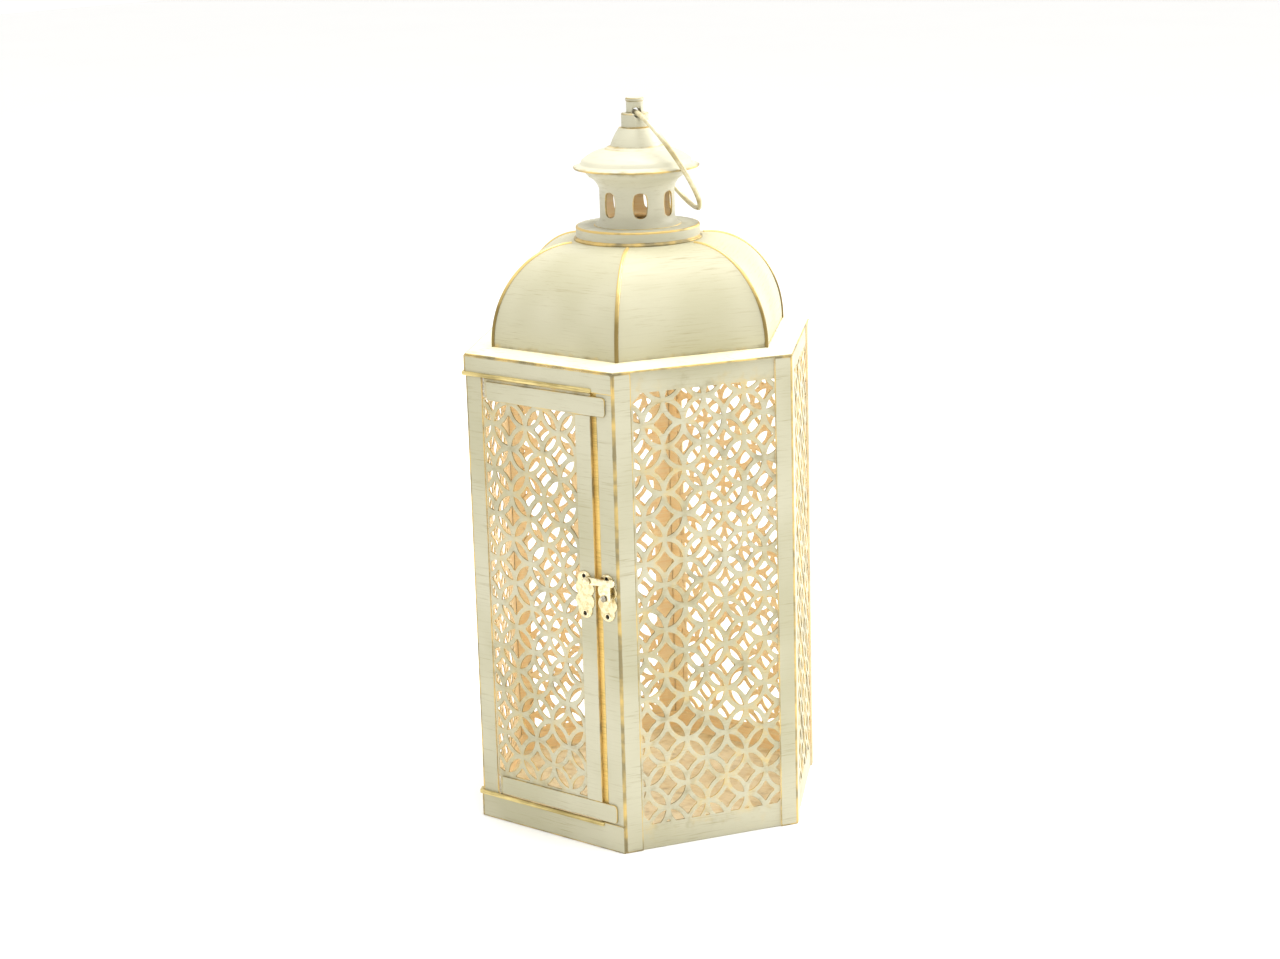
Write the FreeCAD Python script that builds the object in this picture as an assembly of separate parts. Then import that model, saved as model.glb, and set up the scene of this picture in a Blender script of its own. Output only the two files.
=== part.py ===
"""Hexagonal pierced-metal candle lantern with a hinged door, a domed roof and a ring handle.

Every separate piece is one STEP file. The origin is at the middle of the underside, +Z is up, and
the door's face looks along -Y. A piece that repeats round the body is drawn on the door's face and
turned into place. On a face, u runs to the right as seen from outside, and depth is the distance
from the lantern's axis.
"""
import FreeCAD, Part
import math
import os

V = FreeCAD.Vector
ORIGIN = V(0, 0, 0)
UP = V(0, 0, 1)
COS30 = math.cos(math.radians(30))

# Body: a regular hexagon of folded sheet
SIDE = 100.0                      # side of the hexagon, which is also its corner radius
FACE = SIDE * COS30               # depth of the posts' outer faces
GAUGE = 0.9                       # sheet of the posts, floor and roof
THIN = 0.8                        # sheet of the pierced panels and bands
ROOF_Z = 258.0                    # underside of the roof plate
POST_LEG = 10.0                   # width of a post's leg beside a fixed panel
DOOR_LEG = 11.2                   # width of the two legs beside the door
POST_FOLD = 1.4                   # outer bend radius of a post
SKIRT = 11.0                      # height of the floor pan's upturned rim

# Pierced pattern: overlapping circles on a lattice turned by 45 degrees
PITCH_U = 22.6                    # from one node to the next, across
PITCH_Z = 24.5                    # from one node to the next, upwards
PETAL_TIP = 0.382                 # petal's tips from its middle, in half pitches
PETAL_BELLY = 0.129               # petal's bulge from its middle, in half pitches
STAR_TIP = 0.44                   # star's rounded points from its middle, in half pitches
STAR_NECK = (0.40, 0.066)         # where a star's side meets its rounded point
STAR_WAIST = 0.215                # star's hollow sides from its middle, in half pitches
SMALLEST_HOLE = 1.5               # area under which a cut-off hole is left closed, mm2
PANEL_WINDOW = (-38.6, 43.0, 13.6, 246.8)
PANEL_NODE = (-25.0, 21.6, 0.012) # a node of the side panels' pattern, and its lean per mm of height
DOOR_WINDOW = (-37.0, 25.0, 27.0, 237.0)
DOOR_NODE = (-9.3, 27.3, 0.0)     # a node of the door's pattern, and its lean

# Door
DOOR_BACK = FACE - 0.5            # depth of the inner face of the door's sheet
DOOR_FRONT = DOOR_BACK + THIN
RAIL_FRONT = DOOR_FRONT + THIN
DOOR_LEFT, DOOR_RIGHT = -38.2, 35.6
DOOR_BOTTOM, DOOR_TOP = 15.3, 247.0
RAIL_HEIGHT = 10.2
RAIL_LEFT, TAB_END = -35.0, 45.4
TAB_ROUND = 2.2
HINGE_U, HINGE_DEPTH = -37.2, FACE - 0.7
PIN_R = 0.5
KNUCKLE_BORE_R = 0.55
KNUCKLE_R = 1.1
KNUCKLE_LENGTH = 10.0
PIN_IN_KNUCKLE = 8.0

# Bands over and under the door
BAND_FRONT = FACE + THIN
LIP_FRONT = FACE + 2.0
LIP_HEIGHT = 2.2
LIP_END = 36.6
SILL_TOP = 14.9
HEADER_BOTTOM = 247.4
BAND_WRAP = 4.0                   # how far a band turns the corner on the hinge side

# Roof, dome and chimney
LEDGE_FACE = SIDE * 1.003 * COS30
LEDGE_RISE = 2.0
DOME_Z = 261.0                    # where the dome stands on the ledge
DOME_AXIS_R = 38.0                # corner radius of the dome's flat top
DOME_SPREAD, DOME_HEIGHT = 46.0, 50.5   # half axes of the ridge, a quarter of an ellipse
DOME_FOOT = 0.9
DOME_HOLE = 21.0
SEAM_WIDTH, SEAM_PROUD = 2.2, 0.8
COLLAR_Z = DOME_Z + DOME_FOOT + DOME_HEIGHT
COLLAR_R, COLLAR_LIP_R, COLLAR_TOP = 33.3, 34.5, 319.8
FLUE_R = 20.1
SLOTS, SLOT_WIDTH, SLOT_LOW, SLOT_HIGH = 7, 7.6, 325.0, 338.6
SLOT_ANGLE = -46.5
BRIM_R, BRIM_Z = 33.7, 350.2
CAP_STEP_R = 30.4                 # where the brim turns up into the cap's low dome
CAP_TOP = 371.3
NECK_R, NECK_TOP = 7.3, 379.0
STUB_R, STUB_TOP = 4.5, 387.0
HEAD_R, HEAD_HEIGHT = 4.9, 1.8

# Ring handle, hanging against the brim
RING_R = 31.0                     # radius of the ring's centre line
WIRE_R = 1.35
RING_Z = 379.4                    # height of the hole that it swings in
RING_HOLE_R = 2.7
RING_AXIS = -36.5                 # direction of the hole, seen from above
RING_LEAN = 31.6                  # lean of the hanging ring from upright

# Latch: two riveted plates, a swinging hook and a peg
PLATE_LOW, PLATE_HIGH = 127.0, 152.4
PLATE_HALF = 6.2
PLATE_GAUGE = 0.7
DOOR_PLATE_U, POST_PLATE_U = 28.8, 43.0
EYELET_R, EYELET_BORE_R, EYELET_PROUD = 2.1, 1.15, 0.45
EYELET_INSET = 2.6
HOOK_GAUGE = 1.0
HOOK_LIFT = 0.8                   # gap under the hook, over the door's eyelets
HOOK_GAP = 0.4                    # gap between the hook and the pivot's head
PIVOT_U, PIVOT_Z, PIVOT_R, PIVOT_EYE_R = 31.8, 147.6, 1.1, 2.5
PEG_U, PEG_Z, PEG_R, PEG_PROUD = 43.0, 140.0, 1.7, 0.3
DOME_FLAT_R = 0.3                 # small flat at the middle of a stud's domed end


# ---------------------------------------------------------------- helpers
def save(name, *solids):
    """Write one piece, or a group of like pieces, to its own file."""
    shape = solids[0] if len(solids) == 1 else Part.makeCompound(list(solids))
    assert shape.isValid(), name
    shape.exportStep("parts/" + name + ".step")


def turned(shape, angle):
    """A copy turned about the lantern's axis."""
    copy = shape.copy()
    copy.rotate(ORIGIN, UP, angle)
    return copy


def slab(u0, u1, depth0, depth1, z0, z1):
    """A block on the door's face."""
    return Part.makeBox(u1 - u0, depth1 - depth0, z1 - z0, V(u0, -depth1, z0))


def hexagon(depth, z):
    """Outline of a level hexagon whose sides are at this depth."""
    corners = [V(depth / COS30 * math.cos(math.radians(a)),
                 depth / COS30 * math.sin(math.radians(a)), z) for a in range(0, 360, 60)]
    return Part.makePolygon(corners + corners[:1])


def hex_prism(depth, z0, z1):
    """A hexagonal block between two heights."""
    return Part.Face(hexagon(depth, z0)).extrude(V(0, 0, z1 - z0))


def hex_loft(depth0, z0, depth1, z1):
    """A hexagonal block that narrows from one height to the other."""
    return Part.makeLoft([hexagon(depth0, z0), hexagon(depth1, z1)], True)


def edges(start, *legs):
    """Edges from point to point. A pair of points is an arc through the first to the second."""
    path, here = [], start
    for leg in legs:
        if isinstance(leg, tuple):
            path.append(Part.Arc(here, leg[0], leg[1]).toShape())
            here = leg[1]
        else:
            path.append(Part.makeLine(here, leg))
            here = leg
    return path


def joined(loose):
    """A wire of edges given in any order."""
    return Part.Wire(Part.sortEdges(loose)[0])


def closed_face(start, *legs):
    """A flat face inside a closed run of edges."""
    return Part.Face(Part.Wire(edges(start, *legs, start)))


def spun(face):
    """A face in the XZ plane turned right round the lantern's axis."""
    return face.revolve(ORIGIN, UP, 360)


def spun_sheet(shift, start, *legs):
    """A spun shell: its outer line as given, its inner line the same moved by shift."""
    outer = edges(start, *legs)
    inner = [edge.translated(shift) for edge in outer]
    last = legs[-1][1] if isinstance(legs[-1], tuple) else legs[-1]
    ends = [Part.makeLine(start, start + shift), Part.makeLine(last, last + shift)]
    wire = joined(outer + ends + inner)
    return spun(Part.Face(wire))


def disc(u, z, radius, depth0, depth1):
    """A round block standing on the door's face."""
    return Part.makeCylinder(radius, depth1 - depth0, V(u, -depth0, z), V(0, -1, 0))


# ---------------------------------------------------------------- pierced sheets
def lattice(node, a, b):
    """Point of the pattern at a and b half pitches from its first node."""
    rise = b * PITCH_Z / 2
    return V(node[0] + a * PITCH_U / 2 + rise * node[2], 0, node[1] + rise)


def petal(node, a, b, side):
    """Outline of the pointed petal from node (a, b) to the node above it on one side."""
    mid_a, mid_b = a + side / 2, b + 0.5
    low = lattice(node, mid_a - side * PETAL_TIP, mid_b - PETAL_TIP)
    high = lattice(node, mid_a + side * PETAL_TIP, mid_b + PETAL_TIP)
    right = lattice(node, mid_a + PETAL_BELLY, mid_b - side * PETAL_BELLY)
    left = lattice(node, mid_a - PETAL_BELLY, mid_b + side * PETAL_BELLY)
    return Part.Wire(edges(low, (right, high), (left, low)))


def star(node, a, b):
    """Outline of the four-pointed star between four petals."""
    far, near = STAR_NECK
    path = []
    for ca, cb in ((1, 0), (0, 1), (-1, 0), (0, -1)):
        def at(out, across):
            return lattice(node, a + ca * out - cb * across, b + cb * out + ca * across)
        path += edges(at(far, -near), (at(STAR_TIP, 0), at(far, near)),
                      (at(STAR_WAIST, STAR_WAIST), at(near, far)))
    return Part.Wire(path)


def outlines(node, window):
    """Every petal and star whose middle is near the window."""
    u0, u1, z0, z1 = window
    reach_a = int((u1 - u0) / PITCH_U * 2) + 4
    reach_b = int((z1 - z0) / PITCH_Z * 2) + 2
    for b in range(-2, reach_b):
        for a in range(-reach_a, reach_a):
            if not u0 - PITCH_U < lattice(node, a, b).x < u1 + PITCH_U:
                continue
            if (a + b) % 2 == 0:
                yield petal(node, a, b, 1)
                yield petal(node, a, b, -1)
            else:
                yield star(node, a, b)


def holes(node, window):
    """The pattern's outlines, with those that cross the window's edge cut off at it."""
    u0, u1, z0, z1 = window
    frame = Part.Face(Part.makePolygon([V(u0, 0, z0), V(u1, 0, z0), V(u1, 0, z1), V(u0, 0, z1),
                                        V(u0, 0, z0)]))
    kept = []
    for outline in outlines(node, window):
        box = outline.BoundBox
        if box.XMin > u0 and box.XMax < u1 and box.ZMin > z0 and box.ZMax < z1:
            kept.append(outline)
        elif box.XMin < u1 and box.XMax > u0 and box.ZMin < z1 and box.ZMax > z0:
            rest = Part.Face(outline).common(frame)
            kept += [face.OuterWire for face in rest.Faces if face.Area > SMALLEST_HOLE]
    return kept


def pierced_sheet(u0, u1, z0, z1, back, node, window):
    """A sheet on the door's face with the pattern cut through it."""
    rim = Part.makePolygon([V(u0, 0, z0), V(u1, 0, z0), V(u1, 0, z1), V(u0, 0, z1), V(u0, 0, z0)])
    face = Part.makeFace([rim] + holes(node, window), "Part::FaceMakerBullseye")
    sheet = face.extrude(V(0, -THIN, 0))
    sheet.translate(V(0, -back, 0))
    return sheet.Solids[0]


# ---------------------------------------------------------------- body
def floor_pan():
    """Flat floor with an upturned rim inside the panels."""
    depth = FACE - GAUGE - THIN - 0.1
    rim = hex_prism(depth, GAUGE, SKIRT).cut(hex_prism(depth - THIN, GAUGE, SKIRT))
    return hex_prism(depth, 0, GAUGE).fuse(rim).removeSplitter()


def corner_post(leg_before, leg_after):
    """Angle strip folded round the corner at 0 degrees, with a leg on each face beside it."""
    corner = V(SIDE, 0, 0)
    inner = V(SIDE - GAUGE / COS30, 0, 0)
    side = math.sin(math.radians(60))
    before, after = V(-0.5, -side, 0), V(-0.5, side, 0)
    in_before, in_after = V(-side, 0.5, 0), V(-side, -0.5, 0)
    end_before = corner + before * leg_before
    end_after = corner + after * leg_after
    section = closed_face(end_before, corner, end_after, end_after + in_after * GAUGE, inner,
                          end_before + in_before * GAUGE)
    post = section.extrude(V(0, 0, ROOF_Z))
    folds = [edge for edge in post.Edges
             if edge.BoundBox.ZLength > SKIRT and edge.BoundBox.XMin > SIDE - 0.01]
    return post.makeFillet(POST_FOLD, folds)


def side_panel():
    """Pierced sheet behind the legs of two posts."""
    back = FACE - GAUGE - THIN
    half = back * math.tan(math.radians(30)) - 0.2
    return pierced_sheet(-half, half, 0, ROOF_Z, back, PANEL_NODE, PANEL_WINDOW)


def band(z0, z1, lip_low):
    """Strip across the door's face that turns the hinge-side corner, with a rolled lip."""
    reach = slab(-SIDE, SIDE / 2 + GAUGE / 2, FACE - BAND_WRAP * COS30, SIDE, z0, z1)
    strip = hex_prism(BAND_FRONT, z0, z1).cut(hex_prism(FACE, z0, z1)).common(reach)
    lip_high = lip_low + LIP_HEIGHT
    ring = hex_prism(LIP_FRONT, lip_low, lip_high).cut(hex_prism(FACE, lip_low, lip_high))
    lip = ring.common(slab(-SIDE, LIP_END, FACE - BAND_WRAP * COS30, SIDE, lip_low, lip_high))
    front = [edge for edge in lip.Edges if edge.BoundBox.YMax < -LIP_FRONT + 0.01
             and edge.BoundBox.XLength > SIDE / 2]
    return strip.fuse(lip.makeFillet(THIN, front)).removeSplitter()


def jamb_strip():
    """Stop strip behind the latch-side post, seen in the gap beside the door."""
    depth = FACE - GAUGE
    return slab(DOOR_RIGHT - 2.5, SIDE / 2 - 5.0, depth - THIN, depth, SKIRT + 2, ROOF_Z)


def hinge_bracket(z):
    """Small level plate behind a band that holds a hinge pin."""
    plate = slab(HINGE_U - 1.6, HINGE_U + 4.0, HINGE_DEPTH - 2.5, FACE, z, z + 1.0)
    hole = Part.makeCylinder(PIN_R, 1.0, V(HINGE_U, -HINGE_DEPTH, z))
    return plate.cut(hole)


def hinge_pin(z0, z1):
    """Wire pin on the door's hinge line."""
    return Part.makeCylinder(PIN_R, z1 - z0, V(HINGE_U, -HINGE_DEPTH, z0))


# ---------------------------------------------------------------- door
def door_panel():
    """Pierced sheet of the door, notched where the hinge knuckles stand."""
    sheet = pierced_sheet(DOOR_LEFT, DOOR_RIGHT, DOOR_BOTTOM, DOOR_TOP, DOOR_BACK,
                          DOOR_NODE, DOOR_WINDOW)
    for z0 in (DOOR_BOTTOM, DOOR_TOP - KNUCKLE_LENGTH):
        notch = slab(DOOR_LEFT - 1, HINGE_U, DOOR_BACK - 1, DOOR_FRONT + 1, z0 - 1,
                     z0 + KNUCKLE_LENGTH + 1)
        barrel = Part.makeCylinder(KNUCKLE_R, KNUCKLE_LENGTH + 2, V(HINGE_U, -HINGE_DEPTH, z0 - 1))
        sheet = sheet.cut(notch).cut(barrel)
    return sheet.Solids[0]


def knuckle(z0):
    """Rolled tube on the door's edge that turns on a hinge pin."""
    tube = Part.makeCylinder(KNUCKLE_R, KNUCKLE_LENGTH, V(HINGE_U, -HINGE_DEPTH, z0))
    bore = Part.makeCylinder(KNUCKLE_BORE_R, KNUCKLE_LENGTH, V(HINGE_U, -HINGE_DEPTH, z0))
    return tube.cut(bore)


def door_rail(z0):
    """Strip across the door whose rounded end laps over the latch-side post as a stop."""
    strip = slab(RAIL_LEFT, TAB_END, DOOR_FRONT, RAIL_FRONT, z0, z0 + RAIL_HEIGHT)
    ends = [edge for edge in strip.Edges
            if edge.BoundBox.XMin > TAB_END - 0.01 and edge.BoundBox.YLength > THIN / 2
            and edge.BoundBox.ZLength < 0.01]
    return strip.makeFillet(TAB_ROUND, ends)


def door_stile():
    """Upright strip on the door's latch side, between the two rails."""
    return slab(DOOR_WINDOW[1] + 0.2, DOOR_RIGHT, DOOR_FRONT, RAIL_FRONT - 0.1,
                DOOR_BOTTOM + 0.3 + RAIL_HEIGHT, DOOR_TOP - 1.4 - RAIL_HEIGHT)


# ---------------------------------------------------------------- latch
def latch_plate(mid, back):
    """Waisted plate with a round lobe at each end, and a rivet hole in each lobe."""
    front = back + PLATE_GAUGE
    lobe = PLATE_HALF * 0.75
    low, high = PLATE_LOW + lobe, PLATE_HIGH - lobe
    half = PLATE_HALF
    waist = half * 0.72
    middle = (low + high) / 2
    step = (high - low) / 2 - 2.0
    face = closed_face(
        V(mid - lobe, 0, low), (V(mid, 0, PLATE_LOW), V(mid + lobe, 0, low)),
        V(mid + waist, 0, low + 1.0), (V(mid + half, 0, middle - step / 2), V(mid + waist, 0, middle)),
        (V(mid + half, 0, middle + step / 2), V(mid + waist, 0, high - 1.0)),
        V(mid + lobe, 0, high), (V(mid, 0, PLATE_HIGH), V(mid - lobe, 0, high)),
        V(mid - waist, 0, high - 1.0), (V(mid - half, 0, middle + step / 2), V(mid - waist, 0, middle)),
        (V(mid - half, 0, middle - step / 2), V(mid - waist, 0, low + 1.0)))
    plate = face.extrude(V(0, -PLATE_GAUGE, 0))
    plate.translate(V(0, -back, 0))
    for z in (PLATE_LOW + EYELET_INSET, PLATE_HIGH - EYELET_INSET):
        plate = plate.cut(disc(mid, z, EYELET_BORE_R, back, front))
    return plate


def eyelet(mid, z, back):
    """Hollow rivet's rounded rim on a latch plate."""
    middle_r = (EYELET_R + EYELET_BORE_R) / 2
    crown = V(middle_r, 0, EYELET_PROUD)
    section = Part.Wire(edges(V(EYELET_BORE_R, 0, 0), V(EYELET_R, 0, 0), (crown, V(EYELET_BORE_R, 0, 0))))
    rim = spun(Part.Face(section))
    rim.rotate(ORIGIN, V(1, 0, 0), 90)
    rim.translate(V(mid, -back, z))
    return rim


def eyelets(mid, back):
    """The two eyelets of a latch plate."""
    return [eyelet(mid, z, back) for z in (PLATE_LOW + EYELET_INSET, PLATE_HIGH - EYELET_INSET)]


DOOR_PLATE_BACK = RAIL_FRONT - 0.1
DOOR_PLATE_FRONT = DOOR_PLATE_BACK + PLATE_GAUGE
POST_PLATE_FRONT = FACE + PLATE_GAUGE
HOOK_BACK = DOOR_PLATE_FRONT + HOOK_LIFT
HOOK_FRONT = HOOK_BACK + HOOK_GAUGE


def domed_stud(u, z, shank_r, head_r, back, head_back):
    """Stud with a low domed end, standing on a latch plate."""
    length = head_back - back
    crown = V(DOME_FLAT_R, 0, length + 1.0)
    shoulder = [V(head_r, 0, length)] if head_r > shank_r else []
    stud = spun(closed_face(
        V(0, 0, 0), V(shank_r, 0, 0), V(shank_r, 0, length), *shoulder, V(head_r, 0, length + 0.3),
        (V(head_r * 0.72, 0, length + 0.8), crown), V(0, 0, length + 1.0)))
    stud.rotate(ORIGIN, V(1, 0, 0), 90)
    stud.translate(V(u, -back, z))
    return stud


def latch_hook():
    """Flat swinging arm: an eye on the pivot, a bar with a scroll end, and a claw over the peg."""
    eye = disc(PIVOT_U, PIVOT_Z, PIVOT_EYE_R, HOOK_BACK, HOOK_FRONT)
    top = PIVOT_Z + PIVOT_EYE_R
    bar_end = PEG_U + 4.6
    bar = slab(PIVOT_U, bar_end, HOOK_BACK, HOOK_FRONT, top - 3.4, top)
    scroll = disc(bar_end, top - 1.3, 2.1, HOOK_BACK, HOOK_FRONT)
    claw_in, claw_out = PEG_R + 0.45, PEG_R + 2.2
    claw = disc(PEG_U, PEG_Z, claw_out, HOOK_BACK, HOOK_FRONT)
    neck = slab(PEG_U - 0.6, PEG_U + claw_out, HOOK_BACK, HOOK_FRONT, PEG_Z, top - 1.0)
    arm = eye.fuse([bar, scroll, claw, neck])
    mouth_side = claw_out * 2
    mouth = closed_face(V(PEG_U, 0, PEG_Z), V(PEG_U - mouth_side, 0, PEG_Z + mouth_side * 0.6),
                        V(PEG_U - mouth_side, 0, PEG_Z - mouth_side),
                        V(PEG_U + mouth_side * 0.7, 0, PEG_Z - mouth_side))
    mouth = mouth.extrude(V(0, -HOOK_FRONT - HOOK_GAP, 0))
    room = disc(PEG_U, PEG_Z, claw_in, HOOK_BACK, HOOK_FRONT)
    bore = disc(PIVOT_U, PIVOT_Z, PIVOT_R + 0.06, HOOK_BACK, HOOK_FRONT)
    return arm.cut(room).cut(mouth).cut(bore).removeSplitter()


# ---------------------------------------------------------------- roof
def roof_plate():
    """Ledge that rises a little from its edge to the foot of the dome, open in the middle."""
    foot = (DOME_AXIS_R + DOME_SPREAD) * COS30
    inner = foot - 4.0
    edge_top = ROOF_Z + GAUGE
    flat = hex_prism(LEDGE_FACE, ROOF_Z, edge_top)
    slope = hex_loft(LEDGE_FACE, edge_top, foot, DOME_Z)
    level = hex_prism(foot, ROOF_Z, DOME_Z)
    under = hex_loft(LEDGE_FACE - 2.5, ROOF_Z, foot, DOME_Z - GAUGE)
    hole = hex_prism(inner, ROOF_Z - 1, DOME_Z + 1)
    return flat.fuse([slope, level]).cut(under).cut(hole).removeSplitter()


def ellipse_arc(spread, height):
    """Quarter of an ellipse on the door's face, from the dome's top out to its foot."""
    middle = V(0, -DOME_AXIS_R * COS30, DOME_Z + DOME_FOOT)
    top = middle + V(0, 0, height)
    side = middle + V(0, -spread, 0)
    curve = Part.ArcOfEllipse(Part.Ellipse(top, side, middle), 0, math.pi / 2)
    return curve.toShape(), top, side


def dome_petal():
    """One bent side of the dome, cut along its two ridges."""
    outer, top, side = ellipse_arc(DOME_SPREAD * COS30, DOME_HEIGHT)
    inner, in_top, in_side = ellipse_arc(DOME_SPREAD * COS30 - THIN, DOME_HEIGHT - THIN)
    hole_top = V(0, -DOME_HOLE, top.z)
    hole_low = V(0, -DOME_HOLE, in_top.z)
    foot, in_foot = V(0, side.y, DOME_Z), V(0, in_side.y, DOME_Z)
    loop = [outer, Part.makeLine(side, foot), Part.makeLine(foot, in_foot), Part.makeLine(in_foot, in_side),
            inner, Part.makeLine(in_top, hole_low), Part.makeLine(hole_low, hole_top),
            Part.makeLine(hole_top, top)]
    section = Part.Face(joined(loop))
    section.translate(V(-SIDE, 0, 0))
    bent = section.extrude(V(2 * SIDE, 0, 0))
    reach = SIDE
    wedge = closed_face(V(0, 0, DOME_Z), V(-reach / 2, -reach * COS30, DOME_Z),
                        V(reach / 2, -reach * COS30, DOME_Z)).extrude(V(0, 0, DOME_HEIGHT * 2))
    flue = Part.makeCylinder(DOME_HOLE, DOME_HEIGHT * 2, V(0, 0, DOME_Z))
    return bent.common(wedge).cut(flue).Solids[0]


def dome_seam(petals):
    """Folded seam along one ridge, standing a little proud of the two petals beside it."""
    centre = V(DOME_AXIS_R, 0, DOME_Z + DOME_FOOT)

    def ridge(offset):
        high = centre + V(0, 0, DOME_HEIGHT + offset)
        out = centre + V(DOME_SPREAD + offset, 0, 0)
        return Part.ArcOfEllipse(Part.Ellipse(high, out, centre), 0, math.pi / 2).toShape(), high, out

    outer, high, out = ridge(SEAM_PROUD)
    inner, in_high, in_out = ridge(-THIN / 2)
    foot, in_foot = V(out.x, 0, DOME_Z), V(in_out.x, 0, DOME_Z)
    loop = [outer, Part.makeLine(out, foot), Part.makeLine(foot, in_foot), Part.makeLine(in_foot, in_out),
            inner, Part.makeLine(in_high, high)]
    section = Part.Face(joined(loop))
    section.translate(V(0, -SEAM_WIDTH / 2, 0))
    seam = section.extrude(V(0, SEAM_WIDTH, 0)).cut(petals)
    return max(seam.Solids, key=lambda solid: solid.Volume)


def chimney_collar():
    """Round drum on the dome's flat top, with a thin lip at its foot."""
    z, top, wall = COLLAR_Z, COLLAR_TOP, COLLAR_R
    inside = wall - THIN
    return spun(closed_face(
        V(COLLAR_LIP_R, 0, z), V(COLLAR_LIP_R, 0, z + 0.8), V(wall, 0, z + 1.2), V(wall, 0, top - 0.9),
        (V(wall - 0.25, 0, top - 0.25), V(wall - 0.9, 0, top)), V(FLUE_R - THIN, 0, top),
        V(FLUE_R - THIN, 0, top - THIN), V(inside, 0, top - THIN), V(inside, 0, z)))


def chimney():
    """Flue with a flared foot, a ring of rounded slots and a flared top under the cap."""
    tube = spun_sheet(
        V(-THIN, 0, 0), V(FLUE_R + 3.4, 0, COLLAR_TOP),
        (V(FLUE_R + 0.9, 0, COLLAR_TOP + 2.0), V(FLUE_R, 0, COLLAR_TOP + 4.8)),
        V(FLUE_R, 0, SLOT_HIGH - 0.6),
        (V(FLUE_R + 1.6, 0, SLOT_HIGH + 4.0), V(FLUE_R + 5.6, 0, SLOT_HIGH + 7.4)),
        V(CAP_STEP_R - 0.35, 0, BRIM_Z + 1.25))
    half = SLOT_WIDTH / 2
    straight = V(0, 0, SLOT_HIGH - SLOT_LOW - SLOT_WIDTH)
    low_left, low_right = V(-half, 0, SLOT_LOW + half), V(half, 0, SLOT_LOW + half)
    slot = closed_face(low_left, (V(0, 0, SLOT_LOW), low_right), low_right + straight,
                       (V(0, 0, SLOT_HIGH), low_left + straight))
    cutter = slot.extrude(V(0, -FLUE_R * 2, 0))
    for number in range(SLOTS):
        tube = tube.cut(turned(cutter, SLOT_ANGLE + 90 + number * 360 / SLOTS))
    return tube


def cap():
    """Spun cap: a thin brim, a low dome, a step and a bell that ends under the knob."""
    return spun_sheet(
        V(-0.35, 0, -0.75), V(BRIM_R, 0, BRIM_Z + 0.75), V(CAP_STEP_R, 0, BRIM_Z + 2.0),
        (V(29.2, 0, BRIM_Z + 3.0), V(28.2, 0, BRIM_Z + 4.6)),
        (V(22.8, 0, BRIM_Z + 8.3), V(16.4, 0, BRIM_Z + 10.2)),
        V(15.6, 0, BRIM_Z + 11.2), V(13.6, 0, BRIM_Z + 11.6),
        (V(11.7, 0, BRIM_Z + 16.2), V(NECK_R + 1.4, 0, CAP_TOP)), V(2.9, 0, CAP_TOP))


def ring_direction():
    """Level unit vector along the hole that the ring swings in."""
    angle = math.radians(RING_AXIS)
    return V(math.cos(angle), math.sin(angle), 0)


def hanger_knob():
    """Turned knob with a threaded stem below and a cross hole for the ring."""
    knob = spun(closed_face(
        V(0, 0, CAP_TOP - 7), V(2.5, 0, CAP_TOP - 7), V(2.5, 0, CAP_TOP), V(NECK_R - 0.3, 0, CAP_TOP),
        V(NECK_R, 0, CAP_TOP + 0.4), V(NECK_R, 0, NECK_TOP - 0.7),
        (V(NECK_R - 0.2, 0, NECK_TOP - 0.2), V(NECK_R - 0.7, 0, NECK_TOP)), V(STUB_R, 0, NECK_TOP),
        V(STUB_R, 0, STUB_TOP - HEAD_HEIGHT), V(HEAD_R, 0, STUB_TOP - HEAD_HEIGHT + 0.4),
        V(HEAD_R, 0, STUB_TOP - 0.5), V(HEAD_R - 0.5, 0, STUB_TOP), V(0, 0, STUB_TOP)))
    along = ring_direction()
    hole = Part.makeCylinder(RING_HOLE_R, 4 * NECK_R, V(0, 0, RING_Z) - along * 2 * NECK_R, along)
    return knob.cut(hole).removeSplitter()


def knob_nut():
    """Hexagon nut on the knob's stem, inside the cap."""
    low, high = CAP_TOP - 4.75, CAP_TOP - 0.75
    return hex_prism(4.0, low, high).cut(Part.makeCylinder(2.5, high - low, V(0, 0, low)))


def ring_handle():
    """Round wire ring through the knob's hole, leaning out against the brim."""
    along = ring_direction()
    lean = math.radians(RING_LEAN)
    down = V(0, 0, -1) * math.cos(lean) + V(-along.y, along.x, 0) * math.sin(lean)
    centre = V(0, 0, RING_Z) + down * RING_R
    return Part.makeTorus(RING_R, WIRE_R, centre, along.cross(down))


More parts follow.
